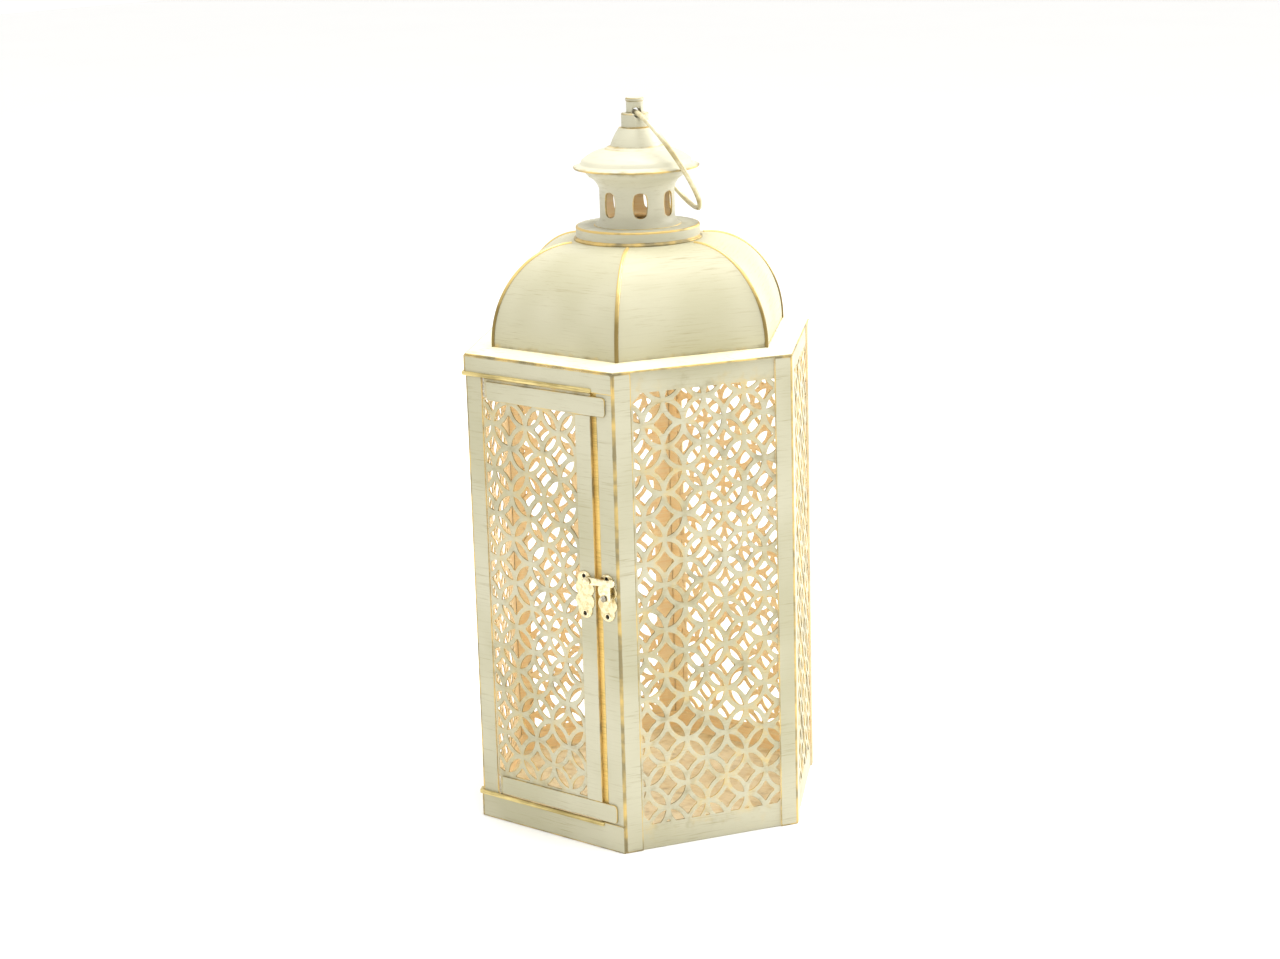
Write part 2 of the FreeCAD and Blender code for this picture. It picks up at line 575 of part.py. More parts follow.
# ---------------------------------------------------------------- the lantern
def build():
    save("floor_pan", floor_pan())
    for number in range(6):
        angle = -120 + 60 * number
        before = DOOR_LEG if number == 1 else POST_LEG
        after = DOOR_LEG if number == 0 else POST_LEG
        save("corner_post_%d" % (number + 1), turned(corner_post(before, after), angle))
    panel = side_panel()
    for number in range(5):
        save("side_panel_%d" % (number + 1), turned(panel, 60 * (number + 1)))
    save("door_header", band(HEADER_BOTTOM, ROOF_Z, HEADER_BOTTOM))
    save("door_sill", band(0, SILL_TOP, SILL_TOP - LIP_HEIGHT))
    save("jamb_strip", jamb_strip())
    upper_bracket, lower_bracket = HEADER_BOTTOM + 1.0, SILL_TOP - LIP_HEIGHT
    save("upper_hinge_bracket", hinge_bracket(upper_bracket))
    save("lower_hinge_bracket", hinge_bracket(lower_bracket))
    save("upper_hinge_pin", hinge_pin(DOOR_TOP - PIN_IN_KNUCKLE, upper_bracket + 1.0))
    save("lower_hinge_pin", hinge_pin(lower_bracket, DOOR_BOTTOM + PIN_IN_KNUCKLE))

    save("door_panel", door_panel())
    save("door_top_rail", door_rail(DOOR_TOP - 1.4 - RAIL_HEIGHT))
    save("door_bottom_rail", door_rail(DOOR_BOTTOM + 0.3))
    save("door_stile", door_stile())
    save("door_upper_knuckle", knuckle(DOOR_TOP - KNUCKLE_LENGTH))
    save("door_lower_knuckle", knuckle(DOOR_BOTTOM))
    save("door_latch_plate", latch_plate(DOOR_PLATE_U, DOOR_PLATE_BACK))
    save("door_plate_eyelets", *eyelets(DOOR_PLATE_U, DOOR_PLATE_FRONT))
    save("latch_pivot", domed_stud(PIVOT_U, PIVOT_Z, PIVOT_R, PIVOT_EYE_R - 0.2, DOOR_PLATE_FRONT,
                                   HOOK_FRONT + HOOK_GAP))
    save("latch_hook", latch_hook())
    save("post_latch_plate", latch_plate(POST_PLATE_U, FACE))
    save("post_plate_eyelets", *eyelets(POST_PLATE_U, POST_PLATE_FRONT))
    save("keeper_peg", domed_stud(PEG_U, PEG_Z, PEG_R, PEG_R, POST_PLATE_FRONT, HOOK_FRONT + PEG_PROUD))

    save("roof_plate", roof_plate())
    petals = [turned(dome_petal(), 60 * number) for number in range(6)]
    for number, piece in enumerate(petals):
        save("dome_petal_%d" % (number + 1), piece)
    seam = dome_seam([turned(petals[0], 60), turned(petals[0], 120)])
    for number in range(6):
        save("dome_seam_%d" % (number + 1), turned(seam, -60 + 60 * number))
    save("chimney_collar", chimney_collar())
    save("chimney", chimney())
    save("cap", cap())
    save("hanger_knob", hanger_knob())
    save("knob_nut", knob_nut())
    save("ring_handle", ring_handle())


os.makedirs("parts", exist_ok=True)
build()
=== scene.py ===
"""Candle lantern: pierced sheets, folded posts, a petalled dome and worn cream paint.

Shapes are worked out in millimetres, in the lantern's own frame, and scaled when they become a mesh.
On a face of the lantern, u runs across to the right as seen from outside, and depth is the distance
from the lantern's axis. "Rub" is how far gold shows through the paint at a point, from 0 to 1.
"""
import math
from collections import namedtuple

import bmesh
import bpy
import numpy as np
from mathutils import Matrix, Vector
from mathutils.geometry import delaunay_2d_cdt


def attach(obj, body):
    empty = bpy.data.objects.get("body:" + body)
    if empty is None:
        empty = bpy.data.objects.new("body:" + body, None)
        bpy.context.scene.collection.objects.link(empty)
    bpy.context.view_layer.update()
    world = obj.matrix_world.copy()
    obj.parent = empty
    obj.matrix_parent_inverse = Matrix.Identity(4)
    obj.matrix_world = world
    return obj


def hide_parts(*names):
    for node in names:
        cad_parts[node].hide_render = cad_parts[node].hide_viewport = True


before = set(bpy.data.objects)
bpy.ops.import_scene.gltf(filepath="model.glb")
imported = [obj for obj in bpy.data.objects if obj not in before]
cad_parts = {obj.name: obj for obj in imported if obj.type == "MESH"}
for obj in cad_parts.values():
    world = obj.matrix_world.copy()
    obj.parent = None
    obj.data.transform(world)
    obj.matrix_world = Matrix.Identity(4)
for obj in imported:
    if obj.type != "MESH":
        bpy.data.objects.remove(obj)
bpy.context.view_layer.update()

MM = 0.001
DOUBLES = 2e-6                    # points nearer than this, in metres, are joined
COS30 = math.cos(math.radians(30))
TAN30 = math.tan(math.radians(30))

# Body
SIDE = 100.0                      # side and corner radius of the hexagon
FACE = SIDE * COS30
GAUGE, THIN = 0.9, 0.8            # sheet of the body, and the thinner sheet of the rest
ROOF_Z = 258.0
POST_LEG, DOOR_LEG, POST_FOLD = 10.0, 11.2, 1.4
SKIRT = 11.0                      # height of the floor's upturned rim
PANEL_GAP, FLOOR_GAP = 0.2, 0.1
AXIS_R, NEAR_AXIS = 0.01, 0.02    # a profile's end on the axis, and what counts as near it
SHEET_EDGE, STRIP_EDGE = 0.2, 0.22  # how far the rims are rounded
STRIP_BORDER = 0.7                # width over which a strip's worn border fades

# Pierced pattern, in half pitches from a node of the lattice
PITCH_U, PITCH_Z = 22.6, 24.5
PETAL_TIP, PETAL_BELLY = 0.382, 0.129
STAR_TIP, STAR_WAIST = 0.44, 0.215
STAR_NECK = (0.40, 0.066)
HOLE_RUB = 0.8
SMALLEST_HOLE = 1.5               # square millimetres
PANEL_WINDOW = (-38.6, 43.0, 13.6, 246.8)
PANEL_NODE = (-25.0, 21.6, 0.012)  # a node, and the pattern's lean per mm of height
DOOR_WINDOW = (-37.0, 25.0, 27.0, 237.0)
DOOR_NODE = (-9.3, 27.3, 0.0)

# Door
DOOR_BACK = FACE - 0.5
DOOR_FRONT = DOOR_BACK + THIN
RAIL_FRONT = DOOR_FRONT + THIN
DOOR_SHEET = (-38.2, 35.6, 15.3, 247.0)
RAIL_ENDS = (-35.0, 45.4)
RAIL_HEIGHT, TAB_ROUND = 10.2, 2.2
KNUCKLE_NOTCH = (1.0, 10.9)       # width and height cut from the sheet's hinge corners
RAIL_TOP_GAP, RAIL_LOW_GAP = 1.4, 0.3
STILE_SET_BACK = 0.1

# Bands over and under the door
BAND_FRONT, LIP_FRONT = FACE + THIN, FACE + 2.0
LIP_HEIGHT, LIP_END = 2.2, 36.6
SILL_TOP, HEADER_BOTTOM = 14.9, 247.4
BAND_WRAP_Y = -(FACE - 4.0 * COS30)  # where the bands end round the hinge-side corner

# Roof, dome and chimney
LEDGE_FACE = SIDE * 1.003 * COS30
DOME_Z, DOME_FOOT = 261.0, 0.9
DOME_AXIS_R, DOME_SPREAD, DOME_HEIGHT = 38.0, 46.0, 50.5
DOME_HOLE, TOP_ROWS = 21.0, 4     # hole under the flue, and rows of points on the flat top
SEAM_WIDTH, SEAM_PROUD, SEAM_SUNK = 2.2, 0.8, 0.3
COLLAR_Z = DOME_Z + DOME_FOOT + DOME_HEIGHT
COLLAR_R, COLLAR_LIP_R, COLLAR_TOP = 33.3, 34.5, 319.8
FLUE_R = 20.1
FOOT_FLARE, FOOT_RISE = 3.4, 4.8
TOP_FLARE, TOP_RISE = 5.6, 7.4
SLOT_MARGIN, SLOT_STRAIGHT = 0.1, 1.6  # space round a slot, and how soon its end turns straight
SLOTS, SLOT_WIDTH, SLOT_LOW, SLOT_HIGH, SLOT_ANGLE = 7, 7.6, 325.0, 338.6, -46.5
BRIM_R, BRIM_Z, CAP_STEP_R, CAP_TOP = 33.7, 350.2, 30.4, 371.3
NECK_R, NECK_TOP, STUB_R, STUB_TOP = 7.3, 379.0, 4.5, 387.0
HEAD_R, HEAD_HEIGHT = 4.9, 1.8
STEM_R, STEM_LENGTH = 2.5, 7.0
RING_R, WIRE_R, RING_Z, RING_HOLE_R = 31.0, 1.35, 379.4, 2.7
RING_AXIS, RING_LEAN = math.radians(-36.5), math.radians(31.6)

# Latch
PLATE_LOW, PLATE_HIGH, PLATE_HALF, PLATE_GAUGE = 127.0, 152.4, 6.2, 0.7
DOOR_PLATE_U, POST_PLATE_U = 28.8, 43.0
EYELET_R, EYELET_BORE_R, EYELET_PROUD, EYELET_INSET = 2.1, 1.15, 0.45, 2.6
DOOR_PLATE_FRONT = RAIL_FRONT - 0.1 + PLATE_GAUGE
HOOK_BACK = DOOR_PLATE_FRONT + 0.8
HOOK_FRONT = HOOK_BACK + 1.0
PIVOT_U, PIVOT_Z, PIVOT_R, PIVOT_EYE_R = 31.8, 147.6, 1.1, 2.5
PEG_U, PEG_Z, PEG_R = 43.0, 140.0, 1.7
BAR_DEPTH, SCROLL_U, SCROLL_R = 3.4, PEG_U + 4.6, 2.1

# Studio, in metres and degrees
CAMERA_TURN, CAMERA_LIFT, CAMERA_ROLL = 38.836, 14.097, -1.596
CAMERA_REACH, CAMERA_AIM_Z, CAMERA_AIM_LEFT, LENS = 1.423, 0.1786, 0.0026, 73.0
LAMPS = (("top_lamp", (0.1, 0.1, 1.8), 1.1, 30),
         ("back_right_lamp", (0.88, 1.66, 0.9), 1.0, 32))
LAMP_AIM = (0, 0, 0.2)
WORLD_COLOUR, WORLD_STRENGTH = (1.0, 0.995, 0.985, 1), 1.05
FLOOR_HALF, FLOOR_POINTS, FLOOR_DROP = 6, 40, 0.0002

Shape = namedtuple("Shape", "points quads triangles rub")


# ---------------------------------------------------------------- outlines
def arc(start, through, end, count):
    """Points on the circle through three points, from the first up to, not with, the last. The middle
    is as far from all three, and a point is middle + radius (cos t, sin t)."""
    (ax, ay), (bx, by), (cx, cy) = start, through, end
    turn = 2 * (ax * (by - cy) + bx * (cy - ay) + cx * (ay - by))
    a2, b2, c2 = ax * ax + ay * ay, bx * bx + by * by, cx * cx + cy * cy
    ox = (a2 * (by - cy) + b2 * (cy - ay) + c2 * (ay - by)) / turn
    oy = (a2 * (cx - bx) + b2 * (ax - cx) + c2 * (bx - ax)) / turn
    first, last = math.atan2(ay - oy, ax - ox), math.atan2(cy - oy, cx - ox)
    span = (last - first) % math.tau if turn > 0 else -((first - last) % math.tau)
    angles = first + span * np.arange(count) / count
    radius = math.hypot(ax - ox, ay - oy)
    return np.column_stack((ox + radius * np.cos(angles), oy + radius * np.sin(angles)))


def worn(points, rub=1.0):
    """Outline points with their rub as a third column."""
    return np.column_stack((points, np.full(len(points), float(rub))))


def rounded(corners, radius, steps=3, flank=0.0, rub=1.0):
    """Closed outline with each corner cut back to an arc. Rub fades out over the flank beside it."""
    corners = np.array(corners, float)
    radii = np.broadcast_to(radius, len(corners))
    rows = []
    for here, before, after, size in zip(corners, np.roll(corners, 1, 0), np.roll(corners, -1, 0), radii):
        back, ahead = before - here, after - here
        long_back, long_ahead = np.linalg.norm(back), np.linalg.norm(ahead)
        back, ahead = back / long_back, ahead / long_ahead
        half = math.acos(np.clip(back @ ahead, -1, 1)) / 2
        turn = math.pi - 2 * half
        cut = min(size / math.tan(half), 0.45 * long_back, 0.45 * long_ahead)
        middle = here + (back + ahead) / np.linalg.norm(back + ahead) * cut / math.cos(half)
        t = np.linspace(0, 1, steps + 1)[:, None]
        from_middle, to_middle = here + back * cut - middle, here + ahead * cut - middle
        bend = middle + (np.sin((1 - t) * turn) * from_middle + np.sin(t * turn) * to_middle) / math.sin(turn)
        if 0 < flank < 0.45 * long_back - cut:
            rows.append(worn([here + back * (cut + flank)], 0))
        rows.append(worn(bend, rub))
        if 0 < flank < 0.45 * long_ahead - cut:
            rows.append(worn([here + ahead * (cut + flank)], 0))
    return np.vstack(rows)


def circle(u, z, radius, count=24):
    """Closed outline: middle + radius (cos t, sin t)."""
    angles = np.arange(count) * math.tau / count
    return worn(np.column_stack((u + radius * np.cos(angles), z + radius * np.sin(angles))))


def one_way(ring, way):
    """The ring run anticlockwise where way is 1 and clockwise where it is -1, without doubles."""
    ring = ring[np.linalg.norm(ring[:, :2] - np.roll(ring[:, :2], 1, 0), axis=1) > 1e-3]
    x, y = ring[:, 0], ring[:, 1]
    area = np.sum(x * np.roll(y, -1) - y * np.roll(x, -1))
    return ring if area * way > 0 else ring[::-1]


def mitres(ring):
    """Step into the metal at each point that moves both its edges in by one: the sum of their left
    normals over 1 + their dot product."""
    after = np.roll(ring[:, :2], -1, 0) - ring[:, :2]
    after /= np.linalg.norm(after, axis=1)[:, None]
    left = np.column_stack((-after[:, 1], after[:, 0]))
    both = left + np.roll(left, 1, 0)
    share = np.maximum(1 + np.sum(left * np.roll(left, 1, 0), axis=1), 0.45)
    return both / share[:, None]


# ---------------------------------------------------------------- solids
def cap(points, sizes):
    """Triangles between the first ring of points and the rings inside it, by Delaunay triangles whose
    edges keep to the rings. The inner rings run clockwise, so they are reversed."""
    ends = np.cumsum([0] + sizes)
    loops = [list(range(low, high)) for low, high in zip(ends, ends[1:])]
    loops = loops[:1] + [loop[::-1] for loop in loops[1:]]
    flat = [Vector(point) for point in points]
    new_points, _, faces, old_points, _, old_faces = delaunay_2d_cdt(flat, [], loops, 0, 1e-6)
    lost = [i for i, own in enumerate(old_points) if not own]
    assert not lost, "rings cross at %s" % [tuple(new_points[i]) for i in lost[:3]]
    return np.array([[old_points[i][0] for i in face] for face, own in zip(faces, old_faces) if own == [0]])


def facing(angle):
    """Places (u, z, depth) on the face that is turned by this angle from the door's."""
    cos, sin = math.cos(math.radians(angle)), math.sin(math.radians(angle))

    def place(u, z, depth):
        return np.column_stack((u * cos + depth * sin, u * sin - depth * cos, z))
    return place


def upright(x, y, z):
    """Places an outline drawn in plan, with its thickness running up."""
    return np.column_stack((x, y, z))


def moved_in(corners, radius, steps=5):
    """Outline as a function of how far it is moved in: the corners step in along their mitres, and an
    outer corner's arc shrinks while an inner corner's grows."""
    corners = np.array(corners, float)
    step = mitres(corners)
    back, ahead = corners - np.roll(corners, 1, 0), np.roll(corners, -1, 0) - corners
    bend = np.sign(back[:, 0] * ahead[:, 1] - back[:, 1] * ahead[:, 0])
    radii = np.broadcast_to(radius, len(corners))
    return lambda inset: rounded(corners + step * inset, np.maximum(radii - bend * inset, 0.02), steps)


def plate(outline, holes, low, high, edge, place, border=0.0, upright_fade=0.0):
    """Flat plate with holes. Each outline is carried from front to back through layers that step in
    by the edge's radius, so every rim is rounded, and both faces are filled with triangles. The front
    may have a border over which its rub fades, and a plate drawn in plan fades down its walls."""
    outer = outline(0) if callable(outline) else one_way(outline, 1)
    rings = [outer] + [one_way(hole, -1) for hole in holes]
    flat, step = np.vstack(rings), np.vstack([mitres(ring) for ring in rings])
    sizes = [len(ring) for ring in rings]
    soft = 0.3 * edge
    layers = [(edge, high, 0.55), (soft, high - soft, 1.0), (0, high - edge, 1.0), (0, low + edge, 1.0),
              (soft, low + soft, 1.0), (edge, low, 0.5)]
    if border:
        layers.insert(0, (edge + border, high, 0.0))
    if upright_fade:
        layers[3:3] = [(0, high - edge - upright_fade, 0.0), (0, low + edge + upright_fade, 0.0)]
    count = len(flat)

    def at(inset):
        ring = flat[:, :2] + step * inset
        if callable(outline):
            ring[:sizes[0]] = outline(inset)[:, :2]
        return ring
    points = np.vstack([place(*at(inset).T, np.full(count, float(depth))) for inset, depth, _ in layers])
    if upright_fade:
        rub = np.concatenate([np.maximum(flat[:, 2], share) for _, _, share in layers])
    else:
        rub = np.concatenate([flat[:, 2] * share for _, _, share in layers])
    here = np.arange(count)
    ahead = np.concatenate([np.roll(part, -1) for part in np.split(here, np.cumsum(sizes)[:-1])])
    bands = [np.column_stack((here, ahead, ahead + count, here + count)) + number * count
             for number in range(len(layers) - 1)]
    front = cap(at(layers[0][0]), sizes)
    back = cap(at(layers[-1][0]), sizes) + (len(layers) - 1) * count
    return Shape(points, np.vstack(bands), np.vstack((front, back)), rub)


def to_axis(profile, share):
    """The profile with its rub scaled, and its ends beside the axis moved onto it."""
    profile[:, 2] *= share
    profile[:, 0][profile[:, 0] < NEAR_AXIS] = 0.0
    return profile


def grid_quads(rows, columns, wrap_rows=False, wrap_columns=False):
    """Quads of a grid of points numbered row by row."""
    i = np.arange(rows if wrap_rows else rows - 1)[:, None]
    j = np.arange(columns if wrap_columns else columns - 1)[None, :]
    i2, j2 = (i + 1) % rows, (j + 1) % columns
    corners = [a * columns + b for a, b in ((i, j), (i, j2), (i2, j2), (i2, j))]
    return np.stack([np.broadcast_to(corner, (i.size, j.size)) for corner in corners], -1).reshape(-1, 4)


NO_TRIANGLES = np.zeros((0, 3), int)


def spun(profile, count=112, closed=True):
    """Profile of (radius, height, rub) turned about Z: a point is (r cos t, r sin t, z)."""
    t = np.arange(count) * math.tau / count
    r, z, rub = profile.T
    points = np.stack((r[:, None] * np.cos(t), r[:, None] * np.sin(t),
                       np.broadcast_to(z[:, None], (len(r), count))), -1)
    quads = grid_quads(len(r), count, closed, True)
    return Shape(points.reshape(-1, 3), quads, NO_TRIANGLES, np.repeat(rub, count))


def spun_on_face(profile, u, z, depth, count=32):
    """A spun shape stood on the door's face, its axis running out of it."""
    shape = spun(profile, count)
    x, y, out = shape.points.T
    return shape._replace(points=np.column_stack((u + x, -depth - out, z + y)))


def hex_ring(profile, bend=1.2, steps=4):
    """Profile of (depth, height, rub) carried round the hexagon. Each corner is an arc of the bend's
    radius about the corner of a hexagon that much smaller."""
    spread = np.radians(np.linspace(-30, 30, steps + 1))
    corner = np.radians(np.arange(6) * 60)
    turn = (corner[:, None] + spread).ravel()
    base = np.repeat(corner, steps + 1)
    depth, height, rub = profile.T
    radius = np.minimum(bend, depth)[:, None]
    reach = (depth[:, None] - radius) / COS30
    points = np.stack((reach * np.cos(base) + radius * np.cos(turn),
                       reach * np.sin(base) + radius * np.sin(turn),
                       np.broadcast_to(height[:, None], (len(depth), len(turn)))), -1)
    quads = grid_quads(len(depth), len(turn), True, True)
    return Shape(points.reshape(-1, 3), quads, NO_TRIANGLES, np.repeat(rub, len(turn)))


def carried(section, path, side, out, closed=False):
    """Closed section of (across, outwards) carried along a path: point = path + across side + outwards
    out. The ends of an open path are drawn together to their middles."""
    section = np.array(section, float)
    points = path[:, None] + section[None, :, :1] * side[:, None] + section[None, :, 1:2] * out[:, None]
    if not closed:
        points = np.concatenate((points[:1] * 0 + path[:1, None], points, points[:1] * 0 + path[-1:, None]))
    quads = grid_quads(len(points), len(section), closed, True)
    return Shape(points.reshape(-1, 3), quads, NO_TRIANGLES, np.ones(len(points) * len(section)))


def together(*shapes):
    """Several shapes as one."""
    starts = np.cumsum([0] + [len(shape.points) for shape in shapes])
    return Shape(np.vstack([s.points for s in shapes]),
                 np.vstack([s.quads + start for s, start in zip(shapes, starts)]),
                 np.vstack([s.triangles + start for s, start in zip(shapes, starts)]),
                 np.concatenate([s.rub for s in shapes]))


def turned(shape, angle):
    """The shape turned about the lantern's axis: (x cos a - y sin a, x sin a + y cos a, z)."""
    cos, sin = math.cos(math.radians(angle)), math.sin(math.radians(angle))
    x, y, z = shape.points.T
    return shape._replace(points=np.column_stack((x * cos - y * sin, x * sin + y * cos, z)))


def inner_faces(mesh):
    """1 for each face that looks at the lantern's axis, 0 for the rest."""
    normals, middles = np.empty(len(mesh.polygons) * 3), np.empty(len(mesh.polygons) * 3)
    mesh.polygons.foreach_get("normal", normals)
    mesh.polygons.foreach_get("center", middles)
    normals, middles = normals.reshape(-1, 3), middles.reshape(-1, 3)[:, :2]
    outward = middles / np.maximum(np.linalg.norm(middles, axis=1), 1e-9)[:, None]
    return (np.sum(normals[:, :2] * outward, axis=1) < -0.35).astype(np.int32)


def cleaned(mesh, open_tube=False):
    """Joins the mesh's doubled points and turns its faces outwards. An open tube has no inside, so its
    faces are turned away from the lantern's axis."""
    work = bmesh.new()
    work.from_mesh(mesh)
    bmesh.ops.remove_doubles(work, verts=work.verts, dist=DOUBLES)
    bmesh.ops.recalc_face_normals(work, faces=work.faces)
    if open_tube and sum(face.normal.xy.dot(face.calc_center_median().xy) for face in work.faces) < 0:
        bmesh.ops.reverse_faces(work, faces=work.faces)
    work.to_mesh(mesh)
    work.free()


def linked(name, data):
    """New object in the scene that holds this mesh, lamp or camera."""
    made = bpy.data.objects.new(name, data)
    bpy.context.scene.collection.objects.link(made)
    return made


def piece(name, body, slot, shape, finish, *nodes, lining=None, sharp=32, open_tube=False):
    """Makes the shape's mesh with its rub, gives it its finish and hangs it on its body."""
    mesh = bpy.data.meshes.new(name)
    faces = shape.quads.tolist() + shape.triangles.tolist()
    mesh.from_pydata((shape.points * MM).tolist(), [], faces)
    mesh.attributes.new("rub", "FLOAT", "POINT").data.foreach_set("value", shape.rub.astype(np.float32))
    cleaned(mesh, open_tube)
    mesh.shade_smooth()
    mesh.set_sharp_from_angle(angle=math.radians(sharp))
    mesh.materials.append(finish)
    if lining:
        mesh.materials.append(lining)
        mesh.polygons.foreach_set("material_index", inner_faces(mesh))
    made = linked(name, mesh)
    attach(made, body)
    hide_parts(*nodes)
    return made


# ---------------------------------------------------------------- finishes
class Finish:
    """A node material with short calls for its nodes."""

    def __init__(self, name):
        self.material = bpy.data.materials.new(name)
        self.material.use_nodes = True
        self.nodes = self.material.node_tree.nodes
        self.shader = self.nodes["Principled BSDF"]
        self.place = self.nodes.new("ShaderNodeTexCoord").outputs["Object"]

    def link(self, source, target):
        """Joins a node's output to an input."""
        self.material.node_tree.links.new(source, target)

    def noise(self, scale, detail=3.0, turn=(0, 0, 0), rough=0.55):
        """Noise with its own scale along each axis, in cycles per metre."""
        mapping = self.nodes.new("ShaderNodeMapping")
        mapping.inputs["Rotation"].default_value = turn
        mapping.inputs["Scale"].default_value = scale
        self.link(self.place, mapping.inputs["Vector"])
        noise = self.nodes.new("ShaderNodeTexNoise")
        noise.inputs["Scale"].default_value = 1.0
        noise.inputs["Detail"].default_value = detail
        noise.inputs["Roughness"].default_value = rough
        self.link(mapping.outputs["Vector"], noise.inputs["Vector"])
        return noise.outputs["Fac"]

    def stretch(self, value, low, high, to_low=0.0, to_high=1.0):
        """The value smoothed from one range to another."""
        node = self.nodes.new("ShaderNodeMapRange")
        node.interpolation_type = "SMOOTHSTEP"
        for socket, number in (("From Min", low), ("From Max", high),
                               ("To Min", to_low), ("To Max", to_high)):
            node.inputs[socket].default_value = number
        self.link(value, node.inputs["Value"])
        return node.outputs["Result"]

    def sum(self, operation, first, second):
        """Arithmetic on two values, either of which may be a plain number."""
        node = self.nodes.new("ShaderNodeMath")
        node.operation = operation
        for socket, value in zip(node.inputs, (first, second)):
            if isinstance(value, (int, float)):
                socket.default_value = value
            else:
                self.link(value, socket)
        return node.outputs["Value"]

    def mix(self, share, first, second):
        """First colour where the share is 0, second where it is 1."""
        node = self.nodes.new("ShaderNodeMix")
        node.data_type = "RGBA"
        self.link(share, node.inputs["Factor"])
        for socket, colour in ((node.inputs[6], first), (node.inputs[7], second)):
            if isinstance(colour, tuple):
                socket.default_value = (*colour, 1)
            else:
                self.link(colour, socket)
        return node.outputs[2]

    def attribute(self, name):
        """The mesh's own value of this name."""
        node = self.nodes.new("ShaderNodeAttribute")
        node.attribute_name = name
        return node.outputs["Fac"]

    def bump(self, height, strength, distance):
        """Fine relief on the shader's normal."""
        node = self.nodes.new("ShaderNodeBump")
        node.inputs["Strength"].default_value = strength
        node.inputs["Distance"].default_value = distance
        self.link(height, node.inputs["Height"])
        self.link(node.outputs["Normal"], self.shader.inputs["Normal"])


CREAM = (0.435, 0.410, 0.268)
CREAM_LIGHT = (0.525, 0.500, 0.360)
TAN = (0.300, 0.250, 0.130)
OLIVE = (0.230, 0.185, 0.085)
GOLD = (0.640, 0.450, 0.140)
LEVEL = (55, 55, 1500)            # brush strokes that lie level
LEVEL_FINE = (160, 160, 3600)


def antique_paint(name, strokes=LEVEL, fine=LEVEL_FINE, turn=(0, 0, 0), wear=1.0, cream=CREAM,
                  light=CREAM_LIGHT):
    """Cream brushed over gold: level strokes let tan through, and the rubbed edges show gold and
    olive. Wear is how strongly the strokes show."""
    paint = Finish(name)
    cloud = paint.noise((14, 14, 14), 2.0)
    stroke = paint.noise(strokes, 4.0, turn, 0.6)
    hair = paint.noise(fine, 3.0, turn)
    ground = paint.mix(paint.stretch(cloud, 0.35, 0.68), cream, light)
    broad = paint.stretch(stroke, 0.52, 0.76, 0.0, 0.60 * wear)
    patches = paint.stretch(paint.noise((38, 38, 60), 3.0), 0.40, 0.66, 0.25, 1.0)
    scratched = paint.mix(paint.sum("MULTIPLY", broad, patches), ground, TAN)
    thin = paint.stretch(hair, 0.60, 0.78, 0.0, 0.42 * wear)
    scratched = paint.mix(paint.sum("MULTIPLY", thin, patches), scratched, OLIVE)
    blotch = paint.noise((160, 160, 160), 4.0)
    rub = paint.attribute("rub")
    bare = paint.stretch(paint.sum("ADD", rub, paint.sum("MULTIPLY", blotch, 0.9)), 0.72, 1.35, 0.0, 0.92)
    metal = paint.mix(paint.stretch(paint.noise((70, 70, 70), 3.0), 0.38, 0.66), GOLD, OLIVE)
    paint.link(paint.mix(bare, scratched, metal), paint.shader.inputs["Base Color"])
    paint.link(paint.sum("MULTIPLY", bare, 0.55), paint.shader.inputs["Metallic"])
    paint.link(paint.stretch(stroke, 0.3, 0.75, 0.42, 0.60), paint.shader.inputs["Roughness"])
    paint.bump(paint.sum("ADD", stroke, paint.sum("MULTIPLY", hair, 0.6)), 0.30, 0.00012)
    return paint.material


def gold_paint(name, bright, dark, metallic=0.55, rough=(0.30, 0.52), strokes=LEVEL):
    """Antique gold with darker strokes."""
    paint = Finish(name)
    stroke = paint.noise(strokes, 4.0)
    cloud = paint.noise((40, 40, 40), 3.0)
    share = paint.stretch(paint.sum("ADD", stroke, cloud), 0.82, 1.22)
    paint.link(paint.mix(share, bright, dark), paint.shader.inputs["Base Color"])
    paint.shader.inputs["Metallic"].default_value = metallic
    paint.link(paint.stretch(stroke, 0.3, 0.7, *rough), paint.shader.inputs["Roughness"])
    paint.bump(stroke, 0.25, 0.00012)
    return paint.material


def seam_paint():
    """Seam of the dome, coloured by height: gold near the top as a painted highlight, dark olive towards the
    foot as painted shade.
    """
    paint = Finish("seam_painted_highlight_and_shade")
    split = paint.nodes.new("ShaderNodeSeparateXYZ")
    paint.link(paint.place, split.inputs["Vector"])
    blotch = paint.noise((150, 150, 150), 4.0)
    height = paint.sum("ADD", split.outputs["Z"], paint.sum("MULTIPLY", blotch, 0.012))
    # Painted light: dark olive painted shade below about 284 mm up, gold painted highlight above about 306
    # mm, blended between.
    share = paint.stretch(height, 0.284, 0.306)
    paint.link(paint.mix(share, (0.24, 0.17, 0.05), (0.74, 0.55, 0.20)), paint.shader.inputs["Base Color"])
    paint.shader.inputs["Metallic"].default_value = 0.5
    paint.link(paint.stretch(blotch, 0.3, 0.7, 0.30, 0.50), paint.shader.inputs["Roughness"])
    paint.bump(blotch, 0.25, 0.0001)
    return paint.material


def brass(name, bright, dark):
    """Stamped brass with fine grain and dull spots."""
    metal = Finish(name)
    grain = metal.noise((900, 900, 2600), 3.0)
    spots = metal.noise((420, 420, 420), 4.0)
    metal.link(metal.mix(metal.stretch(spots, 0.42, 0.66), bright, dark), metal.shader.inputs["Base Color"])
    metal.shader.inputs["Metallic"].default_value = 1.0
    metal.link(metal.stretch(grain, 0.3, 0.7, 0.20, 0.38), metal.shader.inputs["Roughness"])
    metal.bump(grain, 0.2, 0.00005)
    return metal.material


